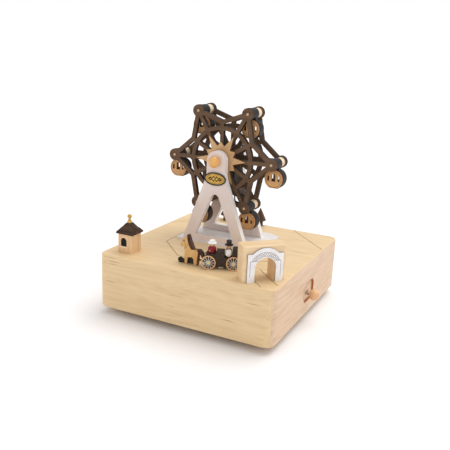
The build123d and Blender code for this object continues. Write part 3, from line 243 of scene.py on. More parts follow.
# where a point lies on an upright board: along it, up it, and how far from the board's own centre
boardSpot, given, result = newGroup(
    "boardSpot",
    [
        ("Vector", "NodeSocketVector", None),
        ("Centre", "NodeSocketVector", (0, 0, 0)),
        ("Along", "NodeSocketVector", (1, 0, 0)),
    ],
    [("Along", "NodeSocketFloat"), ("Up", "NodeSocketFloat"), ("Reach", "NodeSocketFloat")],
)
offset = addNode(boardSpot, "ShaderNodeVectorMath", (-600, 0), operation="SUBTRACT")
feed(boardSpot, offset, n0=given["Vector"], n1=given["Centre"])
along = dot(boardSpot, offset.outputs[0], given["Along"], (-300, 150))
up = dot(boardSpot, offset.outputs[0], (0.0, 0.0, 1.0), (-300, -150))
squares = calc(boardSpot, "MULTIPLY", along, along, at=(0, 150))
squares = calc(boardSpot, "MULTIPLY_ADD", up, up, squares, at=(150, 0))
feed(boardSpot, result, Along=along, Up=up, Reach=calc(boardSpot, "SQRT", squares, at=(300, 0)))

# a drawn or engraved line where a value passes its centre, with soft sides
drawnLine, given, result = newGroup(
    "drawnLine",
    [
        ("Value", "NodeSocketFloat", 0.0),
        ("Centre", "NodeSocketFloat", 0.0),
        ("Half Width", "NodeSocketFloat", 0.0001),
    ],
    [("Mask", "NodeSocketFloat")],
)
away = calc(drawnLine, "SUBTRACT", given["Value"], given["Centre"], at=(-500, 0))
away = calc(drawnLine, "ABSOLUTE", away, at=(-350, 0))
ratio = calc(drawnLine, "DIVIDE", away, given["Half Width"], at=(-200, 0))
feed(drawnLine, result, Mask=spread(drawnLine, ratio, 0.6, 1.4, (1.0, 0.0), (100, 0)))
print("shader groups made")


def startMaterial(name):
    material = bpy.data.materials.new(name)
    material.use_nodes = True
    tree = material.node_tree
    shader = tree.nodes["Principled BSDF"]
    shader.location = (900, 0)
    tree.nodes["Material Output"].location = (1200, 0)
    return material, tree, shader, addNode(tree, "ShaderNodeTexCoord", (-900, 0)).outputs


def setFinish(tree, shader, look, texture, height):
    # gloss, coat and bump; the gloss and the bump follow the grain or skin that the caller made
    roughRange = tuple(look.get("roughness", 0.5) + swing for swing in roughSwing)
    feed(tree, shader, Roughness=spread(tree, texture, 0.3, 0.7, roughRange, (300, -150)))
    shader.inputs["Metallic"].default_value = look.get("metallic", 0.0)
    shader.inputs["Coat Weight"].default_value = look.get("coat", 0.0)
    shader.inputs["Coat Roughness"].default_value = look.get("coatRoughness", 0.3)
    shader.inputs["Specular IOR Level"].default_value = look.get("specular", 0.35)
    relief = addNode(tree, "ShaderNodeBump", (650, -250))
    feed(tree, relief, Height=height, Strength=look.get("bump", 0.25), Distance=bumpDepth)
    tree.links.new(relief.outputs["Normal"], shader.inputs["Normal"])


def scorchAndLightSides(tree, spots, look, colour):
    edge = useGroup(tree, edgeScorchAndLight, (-200, -250), Normal=spots["Normal"], Vector=spots["Object"])
    feed(tree, edge, Axis=look["axis"])
    return blendColour(tree, edge.outputs["Mask"], colour, look["scorchAndPaintedLight"], (100, 50))


def grainOn(tree, vector, look):
    grain = useGroup(tree, woodGrain, (-450, 0), Vector=vector, Light=look["light"], Dark=look["dark"])
    feed(tree, grain, Fleck=look.get("fleck", look["dark"]), Flecks=look.get("flecks", 0.0))
    feed(tree, grain, Rings=look.get("rings", 9.0), Ring_Depth=look.get("ringDepth", 0.3))
    return grain.outputs


def woodMaterial(name, look, marks=()):
    # marks are (low corner, high corner, colour) boxes that are stained, scorched or painted
    material, tree, shader, spots = startMaterial(name)
    place = addNode(tree, "ShaderNodeMapping", (-700, 0))
    feed(tree, place, Vector=spots["Object"], Rotation=look.get("turn", (0, 0, 0)))
    grain = grainOn(tree, place.outputs["Vector"], look)
    colour = grain["Color"]
    if "scorchAndPaintedLight" in look:
        colour = scorchAndLightSides(tree, spots, look, colour)
    for i, (low, high, stain) in enumerate(marks):
        area = useGroup(tree, insideBox, (-200, -450 - 200 * i), Vector=spots["Object"], Low=low, High=high)
        colour = blendColour(tree, area.outputs["Mask"], colour, stain, (250 + 120 * i, 50))
    tree.links.new(colour, shader.inputs["Base Color"])
    setFinish(tree, shader, look, grain["Fibre"], grain["Fibre"])
    return material


def skinMaterial(name, look):
    # paint, plastic, rubber and metal
    material, tree, shader, spots = startMaterial(name)
    surface = useGroup(tree, surfaceSkin, (-500, 0), Vector=spots["Object"])
    feed(tree, surface, Patch_Scale=look.get("patch", 120.0), Skin_Scale=look.get("skin", 2500.0))
    colour = blendColour(tree, surface.outputs["Patch"], look["light"], look["dark"], (-200, 100))
    if "scorchAndPaintedLight" in look:
        colour = scorchAndLightSides(tree, spots, look, colour)
    tree.links.new(colour, shader.inputs["Base Color"])
    setFinish(tree, shader, look, surface.outputs["Skin"], surface.outputs["Skin"])
    return material


def dress(material, *names):
    for name in names:
        node = nodes[name]
        if not node.material_slots:
            node.data.materials.append(material)
        for place in node.material_slots:
            place.material = material


frontAxis = (0.0, 1.0, 0.0)
# the ring road's radius, and the angles of the carriage and the horse on it. The horse's markings are
# measured from a point on the road that lies horseShift past the middle of its box
roadRadius = 49.6 * mm
carriageAngle = radians(-67.1)
horseShift = radians(0.35)
horseAngle = atan2(*reversed(boxCentre("horse").to_2d())) + horseShift
carriageOut = (cos(carriageAngle), sin(carriageAngle), 0.0)
carriageAlong = (sin(carriageAngle), -cos(carriageAngle), 0.0)
horseOut = (cos(horseAngle), sin(horseAngle), 0.0)
horseAlong = (sin(horseAngle), -cos(horseAngle), 0.0)
gateOut = (sqrt(0.5), -sqrt(0.5), 0.0)
gateAlong = (sqrt(0.5), sqrt(0.5), 0.0)

# the box: pale close-grained wood whose fine lines run level on every side
blockLook = {
    "light": shade(235, 207, 163),
    "dark": shade(219, 186, 138),
    "fleck": shade(160, 106, 64),
    "flecks": 0.9,
    "rings": 150.0,
    "ringDepth": 0.22,
    "roughness": 0.5,
    "coat": 0.1,
    "bump": 0.3,
    "endLight": shade(229, 200, 170),
    "endDark": shade(211, 176, 143),
    "endRings": 110.0,
    "endRingDepth": 0.4,
    "groove": shade(176, 128, 84),
    # painted shade round the recess's rim
    "recessRimShade": shade(180, 114, 58),
    "recessWall": shade(214, 170, 126),
    "cornerLimit": 121.0 * mm,
    "recessSpot": (1.2 * mm, 21.5 * mm),
    "recessHalf": (9.8 * mm, 6.8 * mm),
    "recessCut": 13.4 * mm,
    "lineHalf": 0.5 * mm,
}
recessLow = (0.06388, -0.0088, 0.0142)
recessHigh = (0.06497, 0.0114, 0.0288)
groovesLow = (-0.0634, -0.0634, topZ - 0.0006)
groovesHigh = (0.0634, 0.0634, topZ - 0.00006)


def blockMaterial(name, look):
    material, tree, shader, spots = startMaterial(name)
    sideMask = dot(tree, spots["Normal"], (1.0, 0.0, 0.0), (-900, -300))
    sideMask = calc(tree, "ABSOLUTE", sideMask, at=(-750, -300))
    sideMask = spread(tree, sideMask, 0.6, 0.8, at=(-600, -300))
    acrossBlock = addNode(tree, "ShaderNodeMapping", (-700, -100))
    feed(tree, acrossBlock, Vector=spots["Object"], Rotation=(0.0, 0.0, radians(90)))
    longGrain = grainOn(tree, spots["Object"], look)
    endLook = dict(look, light=look["endLight"], dark=look["endDark"], flecks=0.0)
    endLook.update(rings=look["endRings"], ringDepth=look["endRingDepth"])
    endGrain = grainOn(tree, acrossBlock.outputs["Vector"], endLook)
    colour = blendColour(tree, sideMask, longGrain["Color"], endGrain["Color"], (-150, 100))
    place = addNode(tree, "ShaderNodeSeparateXYZ", (-900, -900))
    feed(tree, place, n0=spots["Object"])
    flat = [calc(tree, "ABSOLUTE", place.outputs[k], at=(-700, -600 - 100 * k)) for k in range(2)]
    flat = calc(tree, "LESS_THAN", calc(tree, "ADD", *flat), look["cornerLimit"], at=(-400, -700))
    stains = [(groovesLow, groovesHigh, look["groove"]), (recessLow, recessHigh, look["recessWall"])]
    for i, (low, high, stain) in enumerate(stains):
        area = useGroup(tree, insideBox, (-200, -450 - 200 * i), Vector=spots["Object"], Low=low, High=high)
        stained = calc(tree, "MULTIPLY", area.outputs["Mask"], flat, at=(0, -450 - 200 * i))
        colour = blendColour(tree, stained, colour, stain, (250 + 120 * i, 50))
    # the recess's outline, a thin line of painted shade on the side and round the recess's floor, for its
    # walls in shadow
    reach = []
    for k, middle in enumerate(look["recessSpot"]):
        away = calc(tree, "SUBTRACT", place.outputs[k + 1], middle, at=(-750, -900 - 100 * k))
        reach.append(calc(tree, "ABSOLUTE", away, at=(-600, -900 - 100 * k)))
    slant = calc(tree, "SUBTRACT", calc(tree, "ADD", *reach), look["recessCut"], at=(-400, -1100))
    beyond = calc(tree, "MULTIPLY", slant, sqrt(0.5), at=(-250, -1100))
    for k in range(2):
        past = calc(tree, "SUBTRACT", reach[k], look["recessHalf"][k], at=(-400, -900 + 100 * k))
        beyond = calc(tree, "MAXIMUM", beyond, past, at=(-100, -1000))
    outline = useGroup(tree, drawnLine, (100, -900), Value=beyond, Half_Width=look["lineHalf"])
    onSide = calc(tree, "GREATER_THAN", place.outputs[0], recessLow[0] - look["lineHalf"], at=(100, -1100))
    # painted shade along the recess's rim
    scorchAndPaintedLight = calc(tree, "MULTIPLY", outline.outputs["Mask"], onSide, at=(300, -1000))
    colour = blendColour(tree, scorchAndPaintedLight, colour, look["recessRimShade"], (500, -200))
    tree.links.new(colour, shader.inputs["Base Color"])
    setFinish(tree, shader, look, longGrain["Fibre"], longGrain["Fibre"])
    return material


dress(blockMaterial("paleBlockWood", blockLook), "base_block")
panelLook = {"light": shade(206, 178, 138), "dark": shade(176, 142, 100), "rings": 20.0, "roughness": 0.6}
dress(woodMaterial("panelPlywood", panelLook), "bottom_panel", "turntable", "ring_posts")

# the house, its roof apart
houseLook = {
    "light": shade(242, 208, 164),
    "dark": shade(224, 182, 136),
    "rings": 24.0,
    "turn": (0, radians(90), 0),
    "roughness": 0.55,
    "sill": shade(250, 228, 196),
    "sillPast": 1.0 * mm,
    "sillProud": 0.58 * mm,
    "sillBelow": 0.9 * mm,
    "sillAbove": 0.05 * mm,
}
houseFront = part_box("house_body")[0].y
paneLow, paneHigh = (Vector(corner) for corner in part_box("house_window"))
sillPast = houseLook["sillPast"]
sillBox = (
    (paneLow.x - sillPast, houseFront - sillPast, paneLow.z - houseLook["sillBelow"]),
    (paneHigh.x + sillPast, houseFront + houseLook["sillProud"], paneLow.z + houseLook["sillAbove"]),
    houseLook["sill"],
)
dress(woodMaterial("houseWood", houseLook, [sillBox]), "house_body")
goldLook = {
    "light": shade(221, 180, 96),
    "dark": shade(198, 152, 68),
    "roughness": 0.32,
    "metallic": 0.2,
    "coat": 0.3,
}
dress(skinMaterial("houseGold", goldLook), "house_finial")
paneLook = {"light": shade(20, 25, 27), "dark": shade(9, 12, 14), "roughness": 0.6, "specular": 0.2}
dress(skinMaterial("windowBlack", paneLook), "house_window")

# the wheel's walnut board, cut and scorched by a laser
starLook = {
    "light": shade(112, 87, 66),
    "dark": shade(88, 66, 49),
    "fleck": shade(64, 49, 40),
    "flecks": 0.6,
    "rings": 30.0,
    "ringDepth": 0.35,
    "roughness": 0.66,
    "specular": 0.25,
    "scorchAndPaintedLight": shade(40, 31, 27),
    "axis": frontAxis,
    "bump": 0.5,
}
dress(woodMaterial("starBoard", starLook), "front_star", "rear_star")
treeLook = {
    "light": shade(104, 74, 56),
    "dark": shade(70, 47, 36),
    "rings": 30.0,
    "turn": (0, radians(90), 0),
    "roughness": 0.6,
}
dress(woodMaterial("treeWood", treeLook), "fir_trees")
frontToBack = (0, 0, radians(90))
hubLook = {"light": shade(84, 62, 50), "dark": shade(58, 42, 34), "rings": 24.0, "turn": frontToBack}
dress(woodMaterial("hubWood", hubLook), "hub_spacers")
sunLook = {
    "light": shade(216, 177, 130),
    "dark": shade(194, 149, 101),
    "rings": 30.0,
    "turn": (0, radians(35), 0),
    "scorchAndPaintedLight": shade(112, 70, 40),
    "axis": frontAxis,
    "roughness": 0.55,
}
dress(woodMaterial("sunWood", sunLook), "sunburst")
spacerLook = {
    "light": shade(248, 230, 202),
    "dark": shade(234, 206, 170),
    "rings": 16.0,
    "turn": frontToBack,
}
dress(woodMaterial("spacerWood", spacerLook), "pin_spacers")
pinLook = {"light": shade(214, 186, 156), "dark": shade(184, 152, 122), "rings": 12.0, "turn": frontToBack}
dress(woodMaterial("pinWood", pinLook), "gondola_pins")
ballLook = {
    "light": shade(244, 188, 110),
    "dark": shade(222, 156, 80),
    "rings": 22.0,
    "turn": frontToBack,
    "roughness": 0.26,
    "coat": 0.7,
    "coatRoughness": 0.1,
}
dress(woodMaterial("ballWood", ballLook), "axle_caps")
knobLook = {
    "light": shade(236, 194, 150),
    "dark": shade(218, 168, 122),
    "rings": 18.0,
    "roughness": 0.42,
    "coat": 0.25,
}
dress(woodMaterial("knobWood", knobLook), "knob_ball")

# the stand is sprayed silvery white; its faces get a painted warm reflection of the wood
# painted light: the cut edges are painted brighter than the faces, which stand in shade
standLook = {
    "light": shade(237, 224, 218),
    "dark": shade(228, 213, 207),
    "patch": 60.0,
    "roughness": 0.36,
    "coat": 0.25,
    "bump": 0.12,
    # painted light: the brighter sides
    "scorchAndPaintedLight": shade(244, 240, 238),
    "axis": frontAxis,
}
dress(skinMaterial("standPaint", standLook), "front_frame", "rear_frame")
plateLook = {
    "light": shade(234, 229, 226),
    "dark": shade(226, 219, 216),
    "patch": 60.0,
    "roughness": 0.32,
    "coat": 0.3,
}
dress(skinMaterial("standPlatePaint", plateLook), "frame_plate")
rimLook = {"light": shade(28, 25, 20), "dark": shade(14, 13, 11), "roughness": 0.3, "coat": 0.3}
dress(skinMaterial("badgeBlack", rimLook), "badge_rim")

# the movement and the drive
steelLook = {
    "light": shade(190, 188, 184),
    "dark": shade(160, 158, 154),
    "metallic": 0.95,
    "roughness": 0.3,
    "skin": 4000.0,
}
steelPieces = ["small_screws", "bedplate", "comb", "roller_bracket", "wheel_axle", "output_spindle"]
steelPieces += ["spring_barrel", "governor", "roller_shaft", "key_shaft", "stop_slider"]
steelPieces += ["magnet_ring", "ring_magnets", "road_magnets"]
dress(skinMaterial("platedSteel", steelLook), *steelPieces)
brassLook = dict(steelLook, light=shade(214, 178, 108), dark=shade(188, 150, 84), roughness=0.28)
dress(skinMaterial("turnedBrass", brassLook), "pinned_cylinder", "axle_bushes")
plasticLook = {"light": shade(40, 40, 42), "dark": shade(28, 28, 30), "roughness": 0.42}
dress(skinMaterial("blackPlastic", plasticLook), "axle_pulley", "idler_wheel")
rubberLook = {"light": shade(34, 33, 33), "dark": shade(24, 23, 23), "roughness": 0.7, "bump": 0.4}
dress(skinMaterial("beltRubber", rubberLook), "drive_belt", "friction_roller", "grip_pad")

# the carriage and what the horse pulls
coachLook = {
    "light": shade(66, 49, 39),
    "dark": shade(47, 35, 28),
    "fleck": shade(34, 26, 21),
    "flecks": 0.6,
    "rings": 26.0,
    "roughness": 0.55,
    "turn": (0, 0, radians(23)),
    "scorchAndPaintedLight": shade(38, 30, 26),
    "axis": carriageOut,
}
dress(woodMaterial("coachWalnut", coachLook), "carriage_body")
truckLook = {"light": shade(44, 36, 33), "dark": shade(30, 25, 23), "roughness": 0.5}
dress(skinMaterial("truckBlack", truckLook), "horse_truck", "guide_wheel")
maneLook = {
    "light": shade(98, 68, 60),
    "dark": shade(60, 40, 36),
    "rings": 40.0,
    "ringDepth": 0.6,
    "turn": (0, radians(60), 0),
    "roughness": 0.7,
    "bump": 0.9,
}
dress(woodMaterial("maneWood", maneLook), "mane_and_tail")
print("plain nodes dressed")


# carriage wheels: a tan rim, pale spokes and a gilt hub
coachWheelLook = {
    "light": shade(232, 188, 140),
    "dark": shade(208, 160, 112),
    "rings": 20.0,
    "roughness": 0.5,
    "scorchAndPaintedLight": shade(120, 78, 48),
    "axis": carriageOut,
    "spoke": shade(206, 201, 194),
    "hub": shade(236, 206, 138),
    "hubRadius": 0.8 * mm,
    "rimInner": 3.98 * mm,
}


def coachWheelMaterial(name, look, centre):
    material, tree, shader, spots = startMaterial(name)
    grain = grainOn(tree, spots["Object"], look)
    spot = useGroup(tree, boardSpot, (-450, -300), Vector=spots["Object"], Centre=centre)
    feed(tree, spot, Along=carriageAlong)
    isRim = calc(tree, "GREATER_THAN", spot.outputs["Reach"], look["rimInner"], at=(-200, -300))
    isHub = calc(tree, "LESS_THAN", spot.outputs["Reach"], look["hubRadius"], at=(-200, -450))
    colour = blendColour(tree, isRim, look["spoke"], grain["Color"], (0, 100))
    colour = blendColour(tree, isHub, colour, look["hub"], (150, 100))
    colour = scorchAndLightSides(tree, spots, look, colour)
    tree.links.new(colour, shader.inputs["Base Color"])
    setFinish(tree, shader, look, grain["Fibre"], grain["Fibre"])
    return material


for name in ("front_wheels", "rear_wheels"):
    dress(coachWheelMaterial(name.replace("_w", "W") + "Wood", coachWheelLook, boxCentre(name)), name)

# the horse: pale board with its outline scorched, an engraved eye, bridle and collar
horseLook = {
    "light": shade(226, 183, 120),
    "dark": shade(204, 155, 93),
    "rings": 22.0,
    "turn": (0, radians(70), 0),
    "roughness": 0.55,
    "scorchAndPaintedLight": shade(110, 66, 38),
    "axis": horseOut,
    "bump": 0.4,
    "ink": shade(74, 46, 32),
    "eye": (4.25 * mm, 16.1 * mm),
    "eyeRadius": 0.42 * mm,
    "nostril": (6.35 * mm, 13.0 * mm),
    "nostrilRadius": 0.24 * mm,
    "bridleReach": 3.15 * mm,
    "collarSpot": (7.6 * mm, 15.2 * mm),
    "collarReach": 6.2 * mm,
    "lineHalf": 0.12 * mm,
}
horseOrigin = Vector(horseOut) * roadRadius + Vector((0, 0, topZ))


def horseMaterial(name, look):
    material, tree, shader, spots = startMaterial(name)
    place = addNode(tree, "ShaderNodeMapping", (-700, 0))
    feed(tree, place, Vector=spots["Object"], Rotation=look["turn"])
    grain = grainOn(tree, place.outputs["Vector"], look)
    colour = scorchAndLightSides(tree, spots, look, grain["Color"])

    def reachFrom(point, at):
        centre = horseOrigin + Vector(horseAlong) * point[0] + Vector((0, 0, point[1]))
        spot = useGroup(tree, boardSpot, at, Vector=spots["Object"], Centre=centre, Along=horseAlong)
        return spot.outputs["Reach"]

    eye = calc(tree, "LESS_THAN", reachFrom(look["eye"], (-450, -300)), look["eyeRadius"], at=(-200, -300))
    nostril = calc(tree, "LESS_THAN", reachFrom(look["nostril"], (-450, -450)), look["nostrilRadius"])
    bridle = useGroup(tree, drawnLine, (-200, -600), Value=reachFrom(look["nostril"], (-450, -600)))
    feed(tree, bridle, Centre=look["bridleReach"], Half_Width=look["lineHalf"])
    collar = useGroup(tree, drawnLine, (-200, -750), Value=reachFrom(look["collarSpot"], (-450, -750)))
    feed(tree, collar, Centre=look["collarReach"], Half_Width=look["lineHalf"])
    drawn = calc(tree, "MAXIMUM", eye, nostril, at=(0, -350))
    drawn = calc(tree, "MAXIMUM", drawn, bridle.outputs["Mask"], at=(150, -400))
    drawn = calc(tree, "MAXIMUM", drawn, collar.outputs["Mask"], at=(300, -450))
    tree.links.new(blendColour(tree, drawn, colour, look["ink"], (450, 50)), shader.inputs["Base Color"])
    setFinish(tree, shader, look, grain["Fibre"], grain["Fibre"])
    return material


dress(horseMaterial("horseWood", horseLook), "horse")

# gondolas: a dark shell between two light boards, each with an engraved arc round its windows
gondolaLook = {
    "light": shade(221, 176, 124),
    "dark": shade(197, 147, 96),
    "rings": 24.0,
    "flecks": 0.3,
    "fleck": shade(150, 96, 52),
    "roughness": 0.5,
    "scorchAndPaintedLight": shade(158, 98, 50),
    "axis": frontAxis,
    "shell": shade(31, 34, 37),
    "shellDark": shade(20, 22, 24),
    "specular": 0.2,
    "boardDepth": 1.22 * mm,
    "headRadius": 4.03 * mm,
    "boardRadius": 6.75 * mm,
    "drop": 10.7 * mm,
    "arcReach": 5.7 * mm,
    "lineHalf": 0.12 * mm,
    "ink": shade(120, 74, 40),
}


def gondolaMaterial(name, look, pin, frontY, backY):
    material, tree, shader, spots = startMaterial(name)
    grain = grainOn(tree, spots["Object"], look)
    board = scorchAndLightSides(tree, spots, look, grain["Color"])
    surface = useGroup(tree, surfaceSkin, (-450, -350), Vector=spots["Object"])
    shell = blendColour(tree, surface.outputs["Patch"], look["shell"], look["shellDark"], (-200, -300))
    head = useGroup(tree, boardSpot, (-450, -550), Vector=spots["Object"], Centre=pin)
    drumCentre = pin - Vector((0, 0, look["drop"]))
    drum = useGroup(tree, boardSpot, (-450, -750), Vector=spots["Object"], Centre=drumCentre)
    depth = addNode(tree, "ShaderNodeSeparateXYZ", (-450, -950))
    feed(tree, depth, n0=spots["Object"])
    outside = calc(tree, "GREATER_THAN", head.outputs["Reach"], look["headRadius"], at=(-200, -550))
    within = calc(tree, "LESS_THAN", drum.outputs["Reach"], look["boardRadius"], at=(-200, -750))
    ahead = calc(tree, "LESS_THAN", depth.outputs[1], frontY + look["boardDepth"], at=(-200, -900))
    behind = calc(tree, "GREATER_THAN", depth.outputs[1], backY - look["boardDepth"], at=(-200, -1050))
    isBoard = calc(tree, "MAXIMUM", ahead, behind, at=(0, -950))
    onFace = calc(tree, "MULTIPLY", outside, within, at=(0, -650))
    isBoard = calc(tree, "MULTIPLY", isBoard, onFace, at=(150, -800))
    arc = useGroup(tree, drawnLine, (0, -300), Value=drum.outputs["Reach"])
    feed(tree, arc, Centre=look["arcReach"], Half_Width=look["lineHalf"])
    engraved = blendColour(tree, arc.outputs["Mask"], board, look["ink"], (200, 150))
    tree.links.new(blendColour(tree, isBoard, shell, engraved, (400, 50)), shader.inputs["Base Color"])
    setFinish(tree, shader, look, surface.outputs["Skin"], grain["Fibre"])
    return material


wheelLook = {"count": 6, "pinCircle": 38.3 * mm, "turn": 0.7}
gondolaSetback = 2.2 * mm
for i in range(wheelLook["count"]):
    angle = radians(360 / wheelLook["count"] * i + wheelLook["turn"])
    name = f"gondola_{i + 1}"
    low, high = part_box(name)
    pin = Vector((axleSpot.x, 0, axleSpot.z)) + wheelLook["pinCircle"] * Vector((cos(angle), 0, sin(angle)))
    material = gondolaMaterial(f"gondolaWood{i + 1}", gondolaLook, pin, low.y + gondolaSetback, high.y)
    dress(material, name)
print("gondolas dressed")

# the gate: pale wood, and a white board with a drawn outline and a plain braid over the arch
gateLook = {
    "light": shade(242, 215, 175),
    "dark": shade(226, 190, 144),
    "fleck": shade(176, 124, 78),
    "flecks": 0.4,
    "rings": 26.0,
    "turn": (0, 0, radians(-45)),
    "coat": 0.1,
}
dress(woodMaterial("gateWood", gateLook), "gate_block")
archLook = {
    "light": shade(246, 244, 243),
    "dark": shade(236, 233, 233),
    "patch": 250.0,
    "roughness": 0.45,
    "scorchAndPaintedLight": shade(120, 112, 112),
    "axis": gateOut,
    "ink": shade(112, 108, 114),
    "tunnelCentre": 9.05 * mm,
    "innerArc": 7.75 * mm,
    "outerArc": 10.35 * mm,
    "legLine": 10.1 * mm,
    "legLow": 3.6 * mm,
    "legHigh": 13.8 * mm,
    "lineHalf": 0.13 * mm,
    "braidMiddle": 9.05 * mm,
    "braidSwing": 0.72 * mm,
    "braidTurns": 17.0,
    "braidHalf": 0.17 * mm,
}


def archMaterial(name, look):
    material, tree, shader, spots = startMaterial(name)
    surface = useGroup(tree, surfaceSkin, (-700, 300), Vector=spots["Object"])
    feed(tree, surface, Patch_Scale=look["patch"])
    colour = blendColour(tree, surface.outputs["Patch"], look["light"], look["dark"], (-500, 300))
    colour = scorchAndLightSides(tree, spots, look, colour)
    centre = (0.0, 0.0, topZ + look["tunnelCentre"])
    spot = useGroup(tree, boardSpot, (-700, -100), Vector=spots["Object"], Centre=centre)
    spot = feed(tree, spot, Along=gateAlong).outputs
    width = calc(tree, "ABSOLUTE", spot["Along"], at=(-500, -300))
    height = calc(tree, "ADD", spot["Up"], look["tunnelCentre"], at=(-500, -450))

    def line(value, middle, half, at):
        node = useGroup(tree, drawnLine, at, Value=value, Centre=middle, Half_Width=half)
        return node.outputs["Mask"]

    def both(first, second, at=(0, 0)):
        return calc(tree, "MULTIPLY", first, second, at=at)

    half = look["lineHalf"]
    overArch = calc(tree, "GREATER_THAN", height, look["legHigh"] - half, at=(-300, -600))
    arcs = line(spot["Reach"], look["innerArc"], half, (-300, 0))
    outerArc = line(spot["Reach"], look["outerArc"], half, (-300, -100))
    arcs = calc(tree, "MAXIMUM", arcs, outerArc, at=(-100, 0))
    arcs = both(arcs, overArch, (50, 0))
    beside = calc(tree, "LESS_THAN", height, look["legHigh"], at=(-300, -750))
    above = calc(tree, "GREATER_THAN", height, look["legLow"], at=(-300, -900))
    legs = line(width, look["legLine"], half, (-300, -1050))
    legs = both(legs, both(beside, above, (-100, -800)), (50, -800))
    shoulder = both(
        line(height, look["legHigh"], half, (-300, -1200)),
        both(
            calc(tree, "LESS_THAN", width, look["legLine"] + half, at=(-300, -1350)),
            calc(tree, "GREATER_THAN", spot["Reach"], look["innerArc"], at=(-300, -1500)),
        ),
    )
    turn = calc(tree, "ARCTAN2", spot["Along"], spot["Up"], at=(-500, -1650))
    wave = calc(tree, "SINE", both(turn, look["braidTurns"]), at=(-300, -1650))
    swing = both(wave, look["braidSwing"], (-150, -1650))
    lift = calc(tree, "SUBTRACT", spot["Reach"], look["braidMiddle"], at=(-300, -1800))
    strands = []
    for i, operation in enumerate(("SUBTRACT", "ADD")):
        strand = calc(tree, operation, lift, swing, at=(-150, -1800 - 150 * i))
        strands.append(line(strand, 0.0, look["braidHalf"], (0, -1650 - 150 * i)))
    braid = both(calc(tree, "MAXIMUM", *strands, at=(150, -1650)), overArch, (300, -1700))
    drawn = calc(tree, "MAXIMUM", calc(tree, "MAXIMUM", arcs, legs), calc(tree, "MAXIMUM", shoulder, braid))
    tree.links.new(blendColour(tree, drawn, colour, look["ink"], (500, 100)), shader.inputs["Base Color"])
    setFinish(tree, shader, look, surface.outputs["Skin"], surface.outputs["Skin"])
    return material


dress(archMaterial("archPaint", archLook), "gate_arch")

# the badge: gilt, with a thin dark line inside its rim and a plain knot across its middle
badgeLook = {
    "light": shade(222, 180, 90),
    "dark": shade(198, 154, 68),
    "metallic": 0.3,
    "roughness": 0.34,
    "ink": shade(52, 40, 20),
    "lineAt": 0.86,
    "lineHalf": 0.02,
    "knotWidth": 0.72,
    "knotSwing": 0.42,
    "knotTurns": 9.0,
    "knotHalf": 0.13,
    "knotEnd": 0.02,
}


def badgeMaterial(name, look):
    material, tree, shader, spots = startMaterial(name)
    surface = useGroup(tree, surfaceSkin, (-700, 300), Vector=spots["Object"], Patch_Scale=300.0)
    colour = blendColour(tree, surface.outputs["Patch"], look["light"], look["dark"], (-500, 300))
    low, high = (Vector(corner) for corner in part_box("badge_face"))
    spot = useGroup(tree, boardSpot, (-700, -100), Vector=spots["Object"], Centre=(low + high) / 2).outputs
    across = calc(tree, "DIVIDE", spot["Along"], (high.x - low.x) / 2, at=(-500, -100))
    above = calc(tree, "DIVIDE", spot["Up"], (high.z - low.z) / 2, at=(-500, -250))
    squares = calc(tree, "MULTIPLY", above, above, at=(-400, -300))
    squares = calc(tree, "MULTIPLY_ADD", across, across, squares, at=(-300, -150))
    reach = calc(tree, "SQRT", squares, at=(-150, -150))
    ring = useGroup(tree, drawnLine, (0, -150), Value=reach, Centre=look["lineAt"])
    feed(tree, ring, Half_Width=look["lineHalf"])
    taper = calc(tree, "DIVIDE", across, look["knotWidth"], at=(-300, -400))
    taper = calc(tree, "SUBTRACT", 1.0, calc(tree, "MULTIPLY", taper, taper), at=(-150, -400), clamp=True)
    wave = calc(tree, "SINE", calc(tree, "MULTIPLY", across, look["knotTurns"]), at=(-300, -550))
    swing = calc(tree, "MULTIPLY", calc(tree, "MULTIPLY", wave, taper), look["knotSwing"], at=(-150, -550))
    knot = []
    for i, operation in enumerate(("SUBTRACT", "ADD")):
        strand = calc(tree, operation, above, swing, at=(0, -550 - 150 * i))
        strand = useGroup(tree, drawnLine, (150, -550 - 150 * i), Value=strand, Half_Width=look["knotHalf"])
        knot.append(strand.outputs["Mask"])
    knot = calc(tree, "MAXIMUM", *knot, at=(300, -550))
    shown = calc(tree, "GREATER_THAN", taper, look["knotEnd"], at=(300, -400))
    shown = calc(tree, "MULTIPLY", knot, shown, at=(450, -450))
    drawn = calc(tree, "MAXIMUM", shown, ring.outputs["Mask"], at=(600, -300))
    tree.links.new(blendColour(tree, drawn, colour, look["ink"], (700, 100)), shader.inputs["Base Color"])
    setFinish(tree, shader, look, surface.outputs["Skin"], surface.outputs["Skin"])
    return material


dress(badgeMaterial("badgeGold", badgeLook), "badge_face")
print("gate and badge dressed")


# small helpers for new pieces

def pickOnly(*pieces):
    bpy.ops.object.select_all(action="DESELECT")
    for piece in pieces:
        piece.select_set(True)
    bpy.context.view_layer.objects.active = pieces[0]


def settle(piece, material, smooth=35.0):
    # puts the place into the mesh, smooths the round faces and gives the finish
    pickOnly(piece)
    bpy.ops.object.transform_apply(location=True, rotation=True, scale=True)
    bpy.ops.object.shade_smooth_by_angle(angle=radians(smooth))
    piece.data.materials.clear()
    piece.data.materials.append(material)
    return piece


